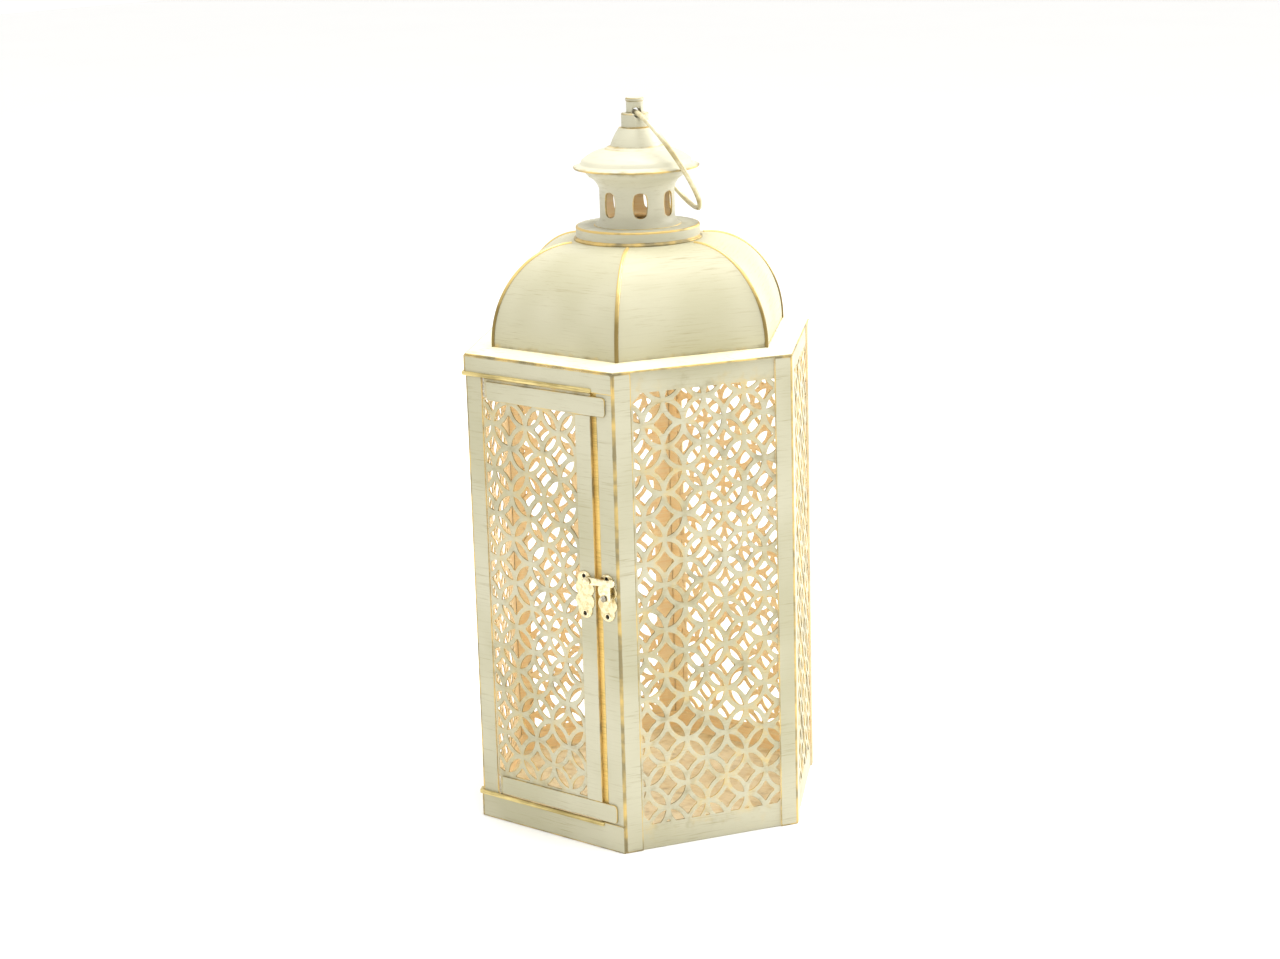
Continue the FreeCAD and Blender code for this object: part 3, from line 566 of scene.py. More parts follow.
PAINT = antique_paint("antique_cream_paint", wear=1.35)
SHEET_PAINT = antique_paint("pierced_sheet_paint", wear=1.0)
FLOOR_PAINT = antique_paint("floor_tray_paint", (60, 700, 60), (160, 2000, 160), wear=0.6,
                            cream=(0.86, 0.78, 0.56), light=(0.92, 0.87, 0.68))
LEDGE_PAINT = antique_paint("ledge_paint", (150, 900, 60), (420, 2200, 150), (0, 0, math.radians(62)), 1.15,
                            (0.76, 0.70, 0.43), (0.86, 0.82, 0.58))
SPUN_PAINT = antique_paint("spun_cap_paint", (110, 110, 700), (260, 260, 2400), wear=0.75,
                           cream=(0.44, 0.425, 0.31), light=(0.58, 0.555, 0.42))
LINING = gold_paint("inside_gold_paint", (0.97, 0.82, 0.55), (0.94, 0.71, 0.40), 0.0, (0.45, 0.65))
JAMB_GOLD = gold_paint("jamb_gold", (0.86, 0.62, 0.20), (0.62, 0.43, 0.12), 0.25)
LIP_GOLD = gold_paint("lip_gold", (0.72, 0.58, 0.24), (0.36, 0.28, 0.10), 0.45)
SEAM_PAINT = seam_paint()
LATCH_BRASS = brass("latch_brass_bright", (0.78, 0.69, 0.44), (0.60, 0.49, 0.26))
# Lighter copy of the latch brass for the hook, the eyelet rims and the pivot: a painted highlight on the
# raised parts.
RAISED_BRASS_PAINTED_HIGHLIGHT = brass("raised_brass_painted_highlight", (0.88, 0.79, 0.54), (0.66, 0.55, 0.32))
STEEL = brass("plain_steel_dull", (0.55, 0.52, 0.44), (0.30, 0.27, 0.20))
RING_PAINT = gold_paint("ring_cream_gold", (0.74, 0.68, 0.46), (0.42, 0.34, 0.16), 0.25, (0.30, 0.45),
                        (90, 90, 90))
# Near-black for the discs at the bottom of the eyelet bores: painted shade.
BORE_PAINTED_SHADE = gold_paint("bore_painted_shade", (0.02, 0.015, 0.01), (0.01, 0.01, 0.01), 0.0, (0.7, 0.8))


# ---------------------------------------------------------------- pierced sheets
def pattern_units():
    """Outlines of the two petals that start at a node and of the star beside it, in half pitches."""
    petals = []
    for side in (1, -1):
        low, high = (-side * PETAL_TIP, -PETAL_TIP), (side * PETAL_TIP, PETAL_TIP)
        right, left = (PETAL_BELLY, -side * PETAL_BELLY), (-PETAL_BELLY, side * PETAL_BELLY)
        petals.append(np.vstack((arc(low, right, high, 9), arc(high, left, low, 9))) + (side / 2, 0.5))
    far, near = STAR_NECK
    star = []
    for ca, cb in ((1, 0), (0, 1), (-1, 0), (0, -1)):
        def at(out, across):
            return (ca * out - cb * across, cb * out + ca * across)
        star += [arc(at(far, -near), at(STAR_TIP, 0), at(far, near), 4),
                 arc(at(far, near), at(STAR_WAIST, STAR_WAIST), at(near, far), 6)]
    return petals, np.vstack(star)


def clipped(outline, window):
    """The outline cut off at the window's four edges, one edge after another."""
    for axis, limit, keep in ((0, window[0], 1), (0, window[1], -1), (1, window[2], 1), (1, window[3], -1)):
        if len(outline) < 3:
            return outline
        inside = (outline[:, axis] - limit) * keep > 0
        kept = []
        pairs = zip(outline, np.roll(outline, -1, 0), inside, np.roll(inside, -1))
        for here, ahead, in_here, in_ahead in pairs:
            if in_here:
                kept.append(here)
            if in_here != in_ahead:
                kept.append(here + (ahead - here) * (limit - here[axis]) / (ahead[axis] - here[axis]))
        outline = np.array(kept)
    return outline


def pattern_holes(node, window):
    """Every petal and star of the pattern inside the window. A lattice point (a, b) lies at
    u = u0 + a pitch/2 + lean rise and z = z0 + rise, with rise = b pitch/2."""
    petals, star = pattern_units()
    u0, z0, lean = node
    holes = []
    for b in range(-2, int((window[3] - window[2]) / PITCH_Z * 2) + 3):
        for a in range(-12, 13):
            for unit in petals if (a + b) % 2 == 0 else [star]:
                rise = (unit[:, 1] + b) * PITCH_Z / 2
                outline = np.column_stack((u0 + (unit[:, 0] + a) * PITCH_U / 2 + rise * lean, z0 + rise))
                outline = clipped(outline, window)
                if len(outline) > 2:
                    x, y = outline.T
                    if abs(np.sum(x * np.roll(y, -1) - y * np.roll(x, -1))) > 2 * SMALLEST_HOLE:
                        holes.append(worn(outline, HOLE_RUB))
    return holes


def box_outline(u0, u1, z0, z1):
    """Corners of an upright rectangle."""
    return [(u0, z0), (u1, z0), (u1, z1), (u0, z1)]


def make_side_panels():
    """Five pierced sheets, one behind each pair of posts."""
    back = FACE - GAUGE - THIN
    half = back * TAN30 - PANEL_GAP
    outline = rounded(box_outline(-half, half, 0, ROOF_Z), 0.3, rub=0.3)
    holes = pattern_holes(PANEL_NODE, PANEL_WINDOW)
    sheet = plate(outline, holes, back, back + THIN, SHEET_EDGE, facing(0))
    for number in range(5):
        name = "side_panel_%d" % (number + 1)
        piece("pierced_" + name, "frame", "pierced_cream", turned(sheet, 60 * (number + 1)), SHEET_PAINT,
              name, lining=LINING)


def make_door():
    """Door sheet with notched hinge corners, its two rails and its stile."""
    u0, u1, z0, z1 = DOOR_SHEET
    wide, tall = KNUCKLE_NOTCH
    corners = [(u0 + wide, z0), (u1, z0), (u1, z1), (u0 + wide, z1), (u0 + wide, z1 - tall),
               (u0, z1 - tall), (u0, z0 + tall), (u0 + wide, z0 + tall)]
    holes = pattern_holes(DOOR_NODE, DOOR_WINDOW)
    sheet = plate(rounded(corners, 0.25), holes, DOOR_BACK, DOOR_FRONT, SHEET_EDGE, facing(0))
    piece("pierced_door_sheet", "door", "pierced_cream", sheet, SHEET_PAINT, "door_panel", lining=LINING)
    top_rail, bottom_rail = z1 - RAIL_TOP_GAP - RAIL_HEIGHT, z0 + RAIL_LOW_GAP
    for name, low in (("door_top_rail", top_rail), ("door_bottom_rail", bottom_rail)):
        corners = box_outline(*RAIL_ENDS, low, low + RAIL_HEIGHT)
        outline = moved_in(corners, (0.4, TAB_ROUND, TAB_ROUND, 0.4))
        strip = plate(outline, [], DOOR_FRONT, RAIL_FRONT, STRIP_EDGE, facing(0), STRIP_BORDER)
        piece(name + "_strip", "door", "antique_cream", strip, PAINT, name)
    outline = moved_in(box_outline(DOOR_WINDOW[1] + 0.2, u1, bottom_rail + RAIL_HEIGHT, top_rail), 0.3)
    stile = plate(outline, [], DOOR_FRONT, RAIL_FRONT - STILE_SET_BACK, STRIP_EDGE, facing(0),
                  STRIP_BORDER)
    piece("door_stile_strip", "door", "antique_cream", stile, PAINT, "door_stile")


# ---------------------------------------------------------------- posts and bands
def make_posts():
    """Six folded angle strips, drawn in plan at 0 degrees and turned into place."""
    sine = math.sin(math.radians(60))
    inner_x = SIDE - GAUGE / COS30
    for number in range(6):
        before = DOOR_LEG if number == 1 else POST_LEG
        after = DOOR_LEG if number == 0 else POST_LEG
        end_before = np.array((SIDE - 0.5 * before, -sine * before))
        end_after = np.array((SIDE - 0.5 * after, sine * after))
        corners = [end_before, (SIDE, 0), end_after, end_after + (-sine * GAUGE, -0.5 * GAUGE), (inner_x, 0),
                   end_before + (-sine * GAUGE, 0.5 * GAUGE)]
        outline = rounded(corners, (0.2, POST_FOLD, 0.2, 0.2, 0.5, 0.2), 5, 0.7)
        post = plate(outline, [], 0, ROOF_Z, 0.15, upright, upright_fade=1.2)
        name = "corner_post_%d" % (number + 1)
        piece("folded_" + name, "frame", "antique_cream", turned(post, -120 + 60 * number), PAINT, name,
              lining=LINING)


def band_plan(depth, right):
    """Plan of a strip on the door's face that turns the hinge-side corner."""
    def wrapped(d):
        return (-d * TAN30 - (d + BAND_WRAP_Y) * TAN30, BAND_WRAP_Y)
    end = (right, -depth)
    inner_end = (min(right, FACE * TAN30), -FACE)
    return [wrapped(depth), (-depth * TAN30, -depth), end, inner_end, (-FACE * TAN30, -FACE), wrapped(FACE)]


def make_bands():
    """Header and sill, each a strip with a rolled lip along the door's edge."""
    for name, low, high, lip in (("door_header", HEADER_BOTTOM, ROOF_Z, HEADER_BOTTOM),
                                 ("door_sill", 0, SILL_TOP, SILL_TOP - LIP_HEIGHT)):
        strip = plate(rounded(band_plan(BAND_FRONT, SIDE / 2), (0.15, 1.5, 0.1, 0.1, 0.6, 0.15), 5, 1.0), [],
                      low, high, 0.08, upright, upright_fade=0.9)
        piece(name + "_strip", "frame", "antique_cream", strip, PAINT, name)
        roll = plate(moved_in(band_plan(LIP_FRONT, LIP_END), (0.6, 2.0, 0.8, 0.1, 0.6, 0.1)), [], lip,
                     lip + LIP_HEIGHT, 0.6, upright)
        piece(name + "_rolled_lip", "frame", "antique_cream", roll, LIP_GOLD, name)


def make_jamb():
    """Gold stop strip seen in the gap beside the door."""
    depth = FACE - GAUGE
    outline = rounded(box_outline(DOOR_SHEET[1] - 2.5, SIDE / 2 - 5.0, SKIRT + 2, ROOF_Z), 0.2)
    strip = plate(outline, [], depth - THIN, depth, 0.15, facing(0))
    piece("jamb_gold_strip", "frame", "rubbed_gold", strip, JAMB_GOLD, "jamb_strip")


def make_floor():
    """Floor with its upturned rim."""
    depth = FACE - GAUGE - THIN - FLOOR_GAP
    profile = rounded([(AXIS_R, 0), (depth, 0), (depth, SKIRT), (depth - THIN, SKIRT),
                       (depth - THIN, GAUGE), (AXIS_R, GAUGE)], (0.001, 0.4, 0.3, 0.3, 0.4, 0.001), 3)
    piece("floor_tray", "frame", "antique_cream", hex_ring(to_axis(profile, 0.4)), FLOOR_PAINT,
          "floor_pan", lining=LINING)


# ---------------------------------------------------------------- roof
def make_ledge():
    """Ledge that rises a little from its edge to the foot of the dome."""
    foot = (DOME_AXIS_R + DOME_SPREAD) * COS30
    top = ROOF_Z + GAUGE
    profile = rounded([(LEDGE_FACE, ROOF_Z), (LEDGE_FACE, top), (foot, DOME_Z), (foot - 4, DOME_Z),
                       (foot - 4, DOME_Z - GAUGE), (foot, DOME_Z - GAUGE), (LEDGE_FACE - 2.5, ROOF_Z)],
                      (0.25, 0.35, 0.2, 0.1, 0.1, 0.1, 0.1), 3, 0.8)
    piece("roof_ledge", "frame", "antique_cream", hex_ring(profile), LEDGE_PAINT, "roof_plate")


def petal_surface(inset):
    """One dome petal's surface, moved in by the inset. Row by row it is the foot, a quarter ellipse
    (depth = middle + spread cos t, height = foot + rise sin t) and the flat top in to the flue's circle."""
    t = np.linspace(0, math.pi / 2, 30)
    middle = DOME_AXIS_R * COS30
    depth = np.concatenate(([middle + DOME_SPREAD * COS30 - inset],
                            middle + (DOME_SPREAD * COS30 - inset) * np.cos(t)))
    height = np.concatenate(([DOME_Z], DOME_Z + DOME_FOOT + (DOME_HEIGHT - inset) * np.sin(t)))
    edge = np.array([-1, -0.985, -0.955, -0.9])
    across = np.concatenate((edge, np.linspace(-0.8, 0.8, 13), -edge[::-1]))
    u = across * depth[:, None] * TAN30
    angle = across * math.radians(30)
    rim_u, rim_depth = DOME_HOLE * np.sin(angle), DOME_HOLE * np.cos(angle)
    steps = np.linspace(0, 1, TOP_ROWS + 1)[1:, None]
    top_u = u[-1] + (rim_u - u[-1]) * steps
    top_depth = depth[-1] + (rim_depth - depth[-1]) * steps
    all_depth = np.vstack((np.broadcast_to(depth[:, None], u.shape), top_depth))
    all_height = np.concatenate((height, np.full(TOP_ROWS, height[-1])))[:, None]
    points = np.stack((np.vstack((u, top_u)), -all_depth, np.broadcast_to(all_height, all_depth.shape)), -1)
    side_rub = np.interp(abs(across), (0.955, 1.0), (0.0, 0.9))
    foot_rub = np.zeros(len(all_depth))
    foot_rub[:2] = 0.45
    return points, np.maximum(side_rub[None, :], foot_rub[:, None])


def shell(outer, inner, rub):
    """Closed thin shell between two grids of the same size."""
    rows, columns = outer.shape[:2]
    count = rows * columns
    quads = grid_quads(rows, columns)
    number = np.arange(count).reshape(rows, columns)
    rim = np.concatenate((number[0], number[1:, -1], number[-1, -2::-1], number[-2:0:-1, 0]))
    ahead = np.roll(rim, -1)
    walls = np.column_stack((rim, ahead, ahead + count, rim + count))
    points = np.vstack((outer.reshape(-1, 3), inner.reshape(-1, 3)))
    return Shape(points, np.vstack((quads, quads + count, walls)), NO_TRIANGLES, np.tile(rub.ravel(), 2))


def make_dome():
    """Six bent petals and the folded seam along each ridge, which is the quarter ellipse of the
    petals' corners. Its out direction is the ellipse's normal (cos t / spread, sin t / height)."""
    outer, rub = petal_surface(0)
    inner, _ = petal_surface(THIN)
    petal = shell(outer, inner, rub)
    for number in range(6):
        name = "dome_petal_%d" % (number + 1)
        piece("bent_" + name, "frame", "antique_cream", turned(petal, 60 * number), PAINT, name,
              lining=LINING)
    t = np.linspace(0, math.pi / 2, 44)
    path = np.column_stack((DOME_AXIS_R + DOME_SPREAD * np.cos(t), 0 * t,
                            DOME_Z + DOME_FOOT + DOME_HEIGHT * np.sin(t)))
    path = np.vstack(((DOME_AXIS_R + DOME_SPREAD, 0, DOME_Z + 0.05), path))
    out = np.column_stack((np.cos(t) / DOME_SPREAD, 0 * t, np.sin(t) / DOME_HEIGHT))
    out /= np.linalg.norm(out, axis=1)[:, None]
    out = np.vstack(((1, 0, 0), out))
    side = np.tile((0.0, 1.0, 0.0), (len(path), 1))
    half = SEAM_WIDTH / 2
    bulge = arc((half, -SEAM_SUNK), (0, SEAM_PROUD), (-half, -SEAM_SUNK), 10)
    section = np.vstack((bulge, [(-half, -SEAM_SUNK), (0, -SEAM_SUNK - 0.05)]))
    seam = carried(section, path, side, out)
    seam.points[:, 2] = np.maximum(seam.points[:, 2], DOME_Z)
    for number in range(6):
        name = "dome_seam_%d" % (number + 1)
        piece("folded_" + name, "frame", "rubbed_gold", turned(seam, -60 + 60 * number), SEAM_PAINT, name)


def slotted_band(radius, low, high, across=12):
    """Open tube with a ring of slots. In each sector, rings of points run from the slot's outline out
    to the sector's rectangle, and the flat sector is then wrapped round the tube."""
    width = math.tau * radius / SLOTS
    middle = (SLOT_LOW + SLOT_HIGH) / 2
    half_u, half_z = SLOT_WIDTH / 2, (SLOT_HIGH - SLOT_LOW) / 2
    side = np.linspace(-1, 1, across + 1)[:-1]
    square = np.vstack((np.column_stack((side, side * 0 - 1)), np.column_stack((side * 0 + 1, side)),
                        np.column_stack((-side, side * 0 + 1)), np.column_stack((side * 0 - 1, -side))))
    box_z = np.where(square[:, 1] < 0, low - middle, high - middle) * abs(square[:, 1])
    box = np.column_stack((square[:, 0] * width / 2, box_z))
    turn = np.arctan2(square[:, 1], square[:, 0])
    straight = (half_z - half_u) * np.clip(square[:, 1] * SLOT_STRAIGHT, -1, 1)
    slot = np.column_stack((half_u * np.cos(turn), half_u * np.sin(turn) + straight))
    share = np.array([0, 0.06, 0.18, 0.42, 0.7, 1.0])[:, None, None]
    rings = slot + (box - slot) * share
    rub = np.repeat((0.95, 0.55, 0.0, 0.0, 0.0, 0.0), len(slot))
    quads = grid_quads(len(share), len(slot), False, True)
    parts = []
    for number in range(SLOTS):
        angle = math.radians(SLOT_ANGLE + number * 360 / SLOTS) + rings[..., 0] / radius
        points = np.stack((radius * np.cos(angle), radius * np.sin(angle), middle + rings[..., 1]), -1)
        parts.append(Shape(points.reshape(-1, 3), quads, NO_TRIANGLES, rub))
    return together(*parts)


def open_rows(rows, count, start):
    """Open spun surface whose first point round is at the start angle."""
    return turned(spun(np.array(rows, float), count, closed=False), start)


def make_chimney():
    """Flue with a flared foot, slots and a flared top, made as one surface and then thickened."""
    across = 12
    count = SLOTS * across
    start = SLOT_ANGLE - 180 / SLOTS
    low, high = SLOT_LOW - SLOT_MARGIN, SLOT_HIGH + SLOT_MARGIN
    foot_top = (FLUE_R, COLLAR_TOP + FOOT_RISE)
    foot = arc((FLUE_R + FOOT_FLARE, COLLAR_TOP), (FLUE_R + 0.9, COLLAR_TOP + 2.0), foot_top, 7)
    foot_rows = [(r, z, rub) for (r, z), rub in zip(foot, (0.9, 0.3, 0, 0, 0, 0, 0))]
    foot_rows += [(*foot_top, 0), (FLUE_R, low, 0)]
    flare_top = (FLUE_R + TOP_FLARE, SLOT_HIGH + TOP_RISE)
    flare = arc((FLUE_R, high), (FLUE_R + 1.6, SLOT_HIGH + 4.0), flare_top, 9)
    flare_rows = [(r, z, 0.0) for r, z in flare] + [(*flare_top, 0.1)]
    flare_rows.append((CAP_STEP_R - 0.35, BRIM_Z + 1.2, 0.75))
    surface = together(open_rows(foot_rows, count, start), slotted_band(FLUE_R, low, high, across),
                       open_rows(flare_rows, count, start))
    made = piece("slotted_chimney", "frame", "antique_cream", surface, SPUN_PAINT, "chimney", sharp=60,
                 open_tube=True)
    made.data.materials.append(LINING)
    wall = made.modifiers.new("wall", "SOLIDIFY")
    wall.thickness = THIN * MM
    wall.offset = -1
    wall.material_offset = 1
    wall.use_rim = True


def make_collar_and_cap():
    """Collar under the chimney, and the spun cap over it."""
    z, wall, inside = COLLAR_Z, COLLAR_R, COLLAR_R - THIN
    collar = rounded([(COLLAR_LIP_R, z), (COLLAR_LIP_R, z + 0.8), (wall, z + 1.3), (wall, COLLAR_TOP),
                      (FLUE_R - THIN, COLLAR_TOP), (FLUE_R - THIN, COLLAR_TOP - THIN),
                      (inside, COLLAR_TOP - THIN), (inside, z)],
                     (0.2, 0.3, 0.4, 0.8, 0.1, 0.1, 0.2, 0.1), 4, 0.7)
    piece("spun_collar", "frame", "antique_cream", spun(collar), SPUN_PAINT, "chimney_collar")
    low_dome = arc((29.2, BRIM_Z + 4.2), (22.8, BRIM_Z + 8.3), (16.4, BRIM_Z + 10.2), 10)
    bell = arc((13.6, BRIM_Z + 11.6), (11.7, BRIM_Z + 16.2), (NECK_R + 1.4, CAP_TOP), 9)
    outer = [(BRIM_R, BRIM_Z + 0.75, 1.0), (BRIM_R - 0.6, BRIM_Z + 1.05, 0.5),
             (CAP_STEP_R, BRIM_Z + 2.0, 0.25), (29.7, BRIM_Z + 2.7, 0.1)]
    outer += [(r, h, 0.0) for r, h in low_dome]
    outer += [(16.4, BRIM_Z + 10.2, 0.5), (15.6, BRIM_Z + 11.0, 0.3), (14.6, BRIM_Z + 11.3, 0.65)]
    outer += [(r, h, rub) for (r, h), rub in zip(bell, (0.6, 0.1, 0, 0, 0, 0, 0, 0, 0))]
    outer += [(NECK_R + 1.4, CAP_TOP, 0.6), (STEM_R + 0.4, CAP_TOP, 0.6)]
    outer = np.array(outer)
    inner = outer[::-1] - (0.35, 0.75, 0)
    piece("spun_cap", "frame", "antique_cream", spun(np.vstack((outer, inner))), SPUN_PAINT, "cap", sharp=40)


def drilled(made, cutter):
    """Cuts one mesh object out of another and keeps only the result."""
    cut = made.modifiers.new("hole", "BOOLEAN")
    cut.object = cutter
    cut.solver = "EXACT"
    graph = bpy.context.evaluated_depsgraph_get()
    mesh = bpy.data.meshes.new_from_object(made.evaluated_get(graph))
    made.modifiers.remove(cut)
    made.data = mesh
    bpy.data.objects.remove(cutter)


def make_knob():
    """Turned knob with the cross hole that the ring swings in."""
    stem_end, head_z = CAP_TOP - STEM_LENGTH, STUB_TOP - HEAD_HEIGHT
    profile = rounded([(AXIS_R, stem_end), (STEM_R, stem_end), (STEM_R, CAP_TOP), (NECK_R, CAP_TOP),
                       (NECK_R, NECK_TOP), (STUB_R, NECK_TOP), (STUB_R, head_z), (HEAD_R, head_z + 0.3),
                       (HEAD_R, STUB_TOP), (AXIS_R, STUB_TOP)],
                      (0.001, 0.3, 0.1, 0.4, 0.7, 0.5, 0.2, 0.2, 0.6, 0.001), 4, 0.5)
    made = piece("turned_knob", "frame", "antique_cream", spun(to_axis(profile, 0.7), 64), SPUN_PAINT,
                 "hanger_knob")
    along = np.array((math.cos(RING_AXIS), math.sin(RING_AXIS), 0.0))
    path = np.array([(0, 0, RING_Z)]) + np.array([[-2 * NECK_R], [2 * NECK_R]]) * along
    side = np.tile((-along[1], along[0], 0.0), (2, 1))
    bore = carried(circle(0, 0, RING_HOLE_R, 32)[:, :2], path, side, np.tile((0.0, 0.0, 1.0), (2, 1)))
    mesh = bpy.data.meshes.new("bore")
    mesh.from_pydata((bore.points * MM).tolist(), [], bore.quads.tolist())
    cleaned(mesh)
    drilled(made, linked("bore", mesh))


def make_ring():
    """Round wire ring: centre line = middle + R (cos t down + sin t along)."""
    along = np.array((math.cos(RING_AXIS), math.sin(RING_AXIS), 0.0))
    level = np.array((-along[1], along[0], 0.0))
    down = np.array((0, 0, -1.0)) * math.cos(RING_LEAN) + level * math.sin(RING_LEAN)
    count = 160
    t = np.arange(count) * math.tau / count
    out = np.cos(t)[:, None] * down + np.sin(t)[:, None] * along
    path = np.array((0, 0, RING_Z)) + down * RING_R + out * RING_R
    side = np.tile(np.cross(along, down), (count, 1))
    section = circle(0, 0, WIRE_R, 18)[:, :2]
    piece("wire_ring", "ring", "ring_gold_cream", carried(section, path, side, out, closed=True), RING_PAINT,
          "ring_handle")


# ---------------------------------------------------------------- latch
def plate_outline(mid):
    """Waisted plate with a round lobe at each end."""
    lobe, waist, half = PLATE_HALF * 0.75, PLATE_HALF * 0.72, PLATE_HALF
    low, high = PLATE_LOW + lobe, PLATE_HIGH - lobe
    middle, step = (low + high) / 2, ((high - low) / 2 - 2.0) / 2
    right = [arc((mid, PLATE_LOW), (mid + lobe * 0.71, low - lobe * 0.71), (mid + lobe, low), 7),
             [(mid + lobe, low)],
             arc((mid + waist, low + 1.0), (mid + half, middle - step), (mid + waist, middle), 7),
             arc((mid + waist, middle), (mid + half, middle + step), (mid + waist, high - 1.0), 7),
             [(mid + waist, high - 1.0)],
             arc((mid + lobe, high), (mid + lobe * 0.71, high + lobe * 0.71), (mid, PLATE_HIGH), 7)]
    right = np.vstack(right)
    left = np.column_stack((2 * mid - right[:, 0], right[:, 1]))[::-1]
    return worn(np.vstack((right, [(mid, PLATE_HIGH)], left[:-1])))


def eyelet(mid, z, depth):
    """Rolled rim of a hollow rivet, with the wall of its bore inside it."""
    tube = (EYELET_R + EYELET_BORE_R) / 2
    profile = np.vstack((arc((EYELET_R, 0), (tube, EYELET_PROUD), (EYELET_BORE_R, 0), 9),
                         [(EYELET_BORE_R, 0), (EYELET_BORE_R, -0.6), (EYELET_R - 0.3, -0.6)]))
    return spun_on_face(worn(profile), mid, z, depth)


def painted_shade_disc(mid, z, depth):
    """Black disc of painted shade at the bottom of an eyelet's bore."""
    radius, thick = EYELET_BORE_R + 0.05, 0.12
    profile = np.array([(0, 0, 0), (radius, 0, 0), (radius, thick, 0), (0, thick, 0)])
    return spun_on_face(profile, mid, z, depth)


def stud(shank_r, head_r, length, u, z, depth):
    """Domed stud standing on a plate."""
    dome = arc((head_r, length + 0.3), (head_r * 0.72, length + 0.8), (0.3, length + 1.0), 8)
    profile = np.vstack(([(0, 0), (shank_r, 0), (shank_r, length), (head_r, length)], dome,
                         [(0.3, length + 1.0), (0, length + 1.0)]))
    return spun_on_face(worn(profile), u, z, depth)


def hook_outline():
    """The hook: an eye on the pivot, a bar with a round scroll end, and a claw open at lower left."""
    top = PIVOT_Z + PIVOT_EYE_R
    under = top - BAR_DEPTH
    scroll_z = top - 1.3
    inner, outer = PEG_R + 0.45, PEG_R + 2.2

    def claw(radius, angle):
        turn = math.radians(angle)
        return (PEG_U + radius * math.cos(turn), PEG_Z + radius * math.sin(turn))
    eye_low = (PIVOT_U + 1.9, PIVOT_Z - 1.62)
    return worn(np.vstack((
        arc((PIVOT_U, top), (PIVOT_U - PIVOT_EYE_R, PIVOT_Z), eye_low, 14), [eye_low, (PEG_U - 1.6, under)],
        arc((PEG_U - 0.9, under - 0.5), (PEG_U - 1.2, under - 2.2), claw(outer, 118), 5),
        arc(claw(outer, 118), claw(outer, 133), claw(outer, 149), 5),
        [claw(outer, 149)], arc(claw(inner, 149), claw(inner, 47), claw(inner, -54.8), 16),
        [claw(inner, -54.8)], arc(claw(outer, -54.8), claw(outer, -27), claw(outer, 0), 8),
        [claw(outer, 0), (PEG_U + outer, under - 0.5)],
        arc((SCROLL_U + 0.4, scroll_z - SCROLL_R), (SCROLL_U + SCROLL_R, scroll_z),
            (SCROLL_U, scroll_z + SCROLL_R), 12),
        [(SCROLL_U, scroll_z + SCROLL_R), (SCROLL_U - 1.8, top)])))


def make_latch():
    """Two riveted plates, their eyelets, the pivot, the peg and the swinging hook."""
    rivets = (PLATE_LOW + EYELET_INSET, PLATE_HIGH - EYELET_INSET)
    for side, body, mid, back in (("door", "door", DOOR_PLATE_U, RAIL_FRONT - 0.1),
                                  ("post", "frame", POST_PLATE_U, FACE)):
        holes = [circle(mid, z, EYELET_BORE_R + 0.35) for z in rivets]
        sheet = plate(plate_outline(mid), holes, back, back + PLATE_GAUGE, 0.18, facing(0), 0.2)
        piece(side + "_latch_stamping", body, "latch_brass", sheet, LATCH_BRASS, side + "_latch_plate")
        front = back + PLATE_GAUGE
        rims = together(*[eyelet(mid, z, front) for z in rivets])
        piece(side + "_eyelet_rims", body, "latch_brass", rims, RAISED_BRASS_PAINTED_HIGHLIGHT, side + "_plate_eyelets")
        # A black disc of painted shade sits at the bottom of each eyelet's bore.
        shade_discs = together(*[painted_shade_disc(mid, z, back + 0.02) for z in rivets])
        piece(side + "_eyelet_painted_shade", body, "latch_brass", shade_discs, BORE_PAINTED_SHADE, side + "_plate_eyelets")
    pivot = stud(PIVOT_R, PIVOT_EYE_R - 0.2, HOOK_FRONT + 0.4 - DOOR_PLATE_FRONT, PIVOT_U, PIVOT_Z,
                 DOOR_PLATE_FRONT)
    piece("latch_pivot_stud", "door", "latch_brass", pivot, RAISED_BRASS_PAINTED_HIGHLIGHT, "latch_pivot")
    peg_back = FACE + PLATE_GAUGE
    peg = stud(PEG_R, PEG_R, HOOK_FRONT + 0.3 - peg_back, PEG_U, PEG_Z, peg_back)
    piece("keeper_peg_stud", "frame", "latch_brass", peg, STEEL, "keeper_peg")
    bore = circle(PIVOT_U, PIVOT_Z, PIVOT_R + 0.06)
    hook = plate(hook_outline(), [bore], HOOK_BACK, HOOK_FRONT, 0.14, facing(0))
    piece("swinging_hook", "latch", "latch_brass", hook, RAISED_BRASS_PAINTED_HIGHLIGHT, "latch_hook")


def finish_cad_nodes():
    """The hinge parts and the nut keep their CAD shape and get the dull steel."""
    for name in ("upper_hinge_bracket", "lower_hinge_bracket", "upper_hinge_pin", "lower_hinge_pin",
                 "knob_nut", "door_upper_knuckle", "door_lower_knuckle"):
        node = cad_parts[name]
        node.data.materials.clear()
        node.data.materials.append(STEEL)


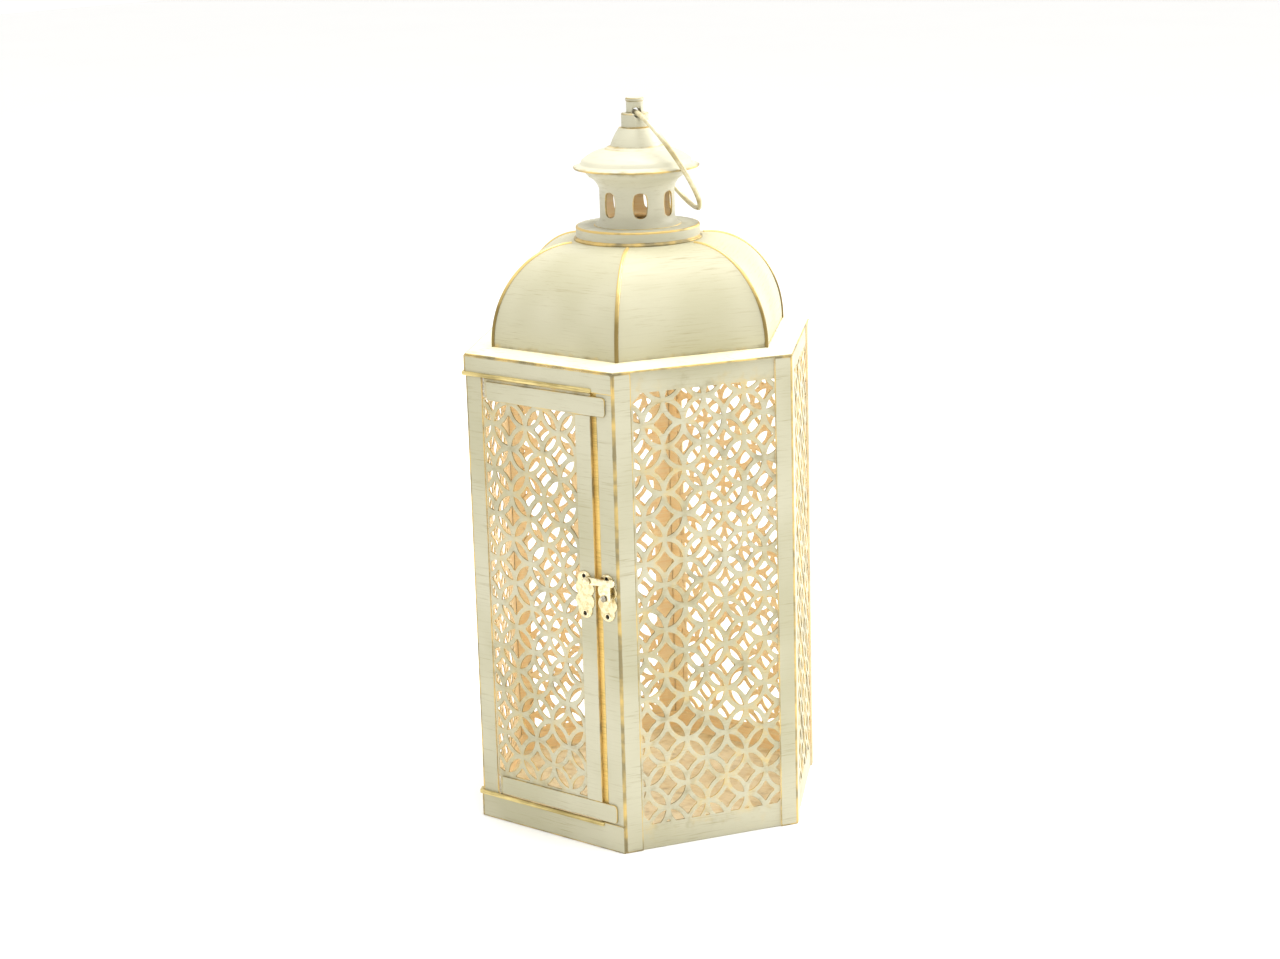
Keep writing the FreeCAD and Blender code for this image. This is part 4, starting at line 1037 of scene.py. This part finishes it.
# ---------------------------------------------------------------- studio
def make_camera():
    """Camera at the left of the front corner, a little above, with a slight roll."""
    turn, lift, roll = map(math.radians, (CAMERA_TURN, CAMERA_LIFT, CAMERA_ROLL))
    back = Vector((math.sin(turn) * math.cos(lift), -math.cos(turn) * math.cos(lift), math.sin(lift)))
    across = Vector((0, 0, 1)).cross(back).normalized()
    up = back.cross(across)
    right = math.cos(roll) * across + math.sin(roll) * up
    top = math.cos(roll) * up - math.sin(roll) * across
    target = Vector((0, 0, CAMERA_AIM_Z)) - CAMERA_AIM_LEFT * across
    data = bpy.data.cameras.new("camera")
    data.lens = LENS
    data.sensor_width = 36.0
    data.clip_start, data.clip_end = 0.05, 30
    camera = linked("camera", data)
    place = Matrix((right, top, back)).transposed().to_4x4()
    place.translation = target + back * CAMERA_REACH
    camera.matrix_world = place
    bpy.context.scene.camera = camera


def soft_light(name, place, size, power):
    """Square area light aimed at the lantern."""
    data = bpy.data.lights.new(name, "AREA")
    data.shape = "SQUARE"
    data.size, data.energy = size, power
    light = linked(name, data)
    light.location = place
    light.rotation_euler = (Vector(LAMP_AIM) - Vector(place)).to_track_quat("-Z", "Y").to_euler()


def make_studio():
    """White floor, white surroundings, and soft lamps above and behind to the right."""
    side = np.linspace(-FLOOR_HALF, FLOOR_HALF, FLOOR_POINTS)
    x, y = np.meshgrid(side, side)
    points = np.stack((x, y, np.full_like(x, -FLOOR_DROP)), -1).reshape(-1, 3)
    mesh = bpy.data.meshes.new("floor")
    mesh.from_pydata(points.tolist(), [], grid_quads(FLOOR_POINTS, FLOOR_POINTS).tolist())
    white = Finish("floor_white")
    white.link(white.mix(white.noise((3, 3, 3)), (0.93, 0.93, 0.92), (0.96, 0.96, 0.95)),
               white.shader.inputs["Base Color"])
    white.shader.inputs["Roughness"].default_value = 0.8
    mesh.materials.append(white.material)
    linked("floor", mesh)
    world = bpy.data.worlds.new("studio")
    bpy.context.scene.world = world
    world.use_nodes = True
    world.node_tree.nodes["Background"].inputs["Color"].default_value = WORLD_COLOUR
    world.node_tree.nodes["Background"].inputs["Strength"].default_value = WORLD_STRENGTH
    for lamp in LAMPS:
        soft_light(*lamp)
    bpy.context.scene.view_settings.view_transform = "Standard"


make_camera()
make_studio()
make_floor()
make_posts()
make_side_panels()
make_bands()
make_jamb()
make_door()
make_ledge()
make_dome()
make_collar_and_cap()
make_chimney()
make_knob()
make_ring()
make_latch()
finish_cad_nodes()
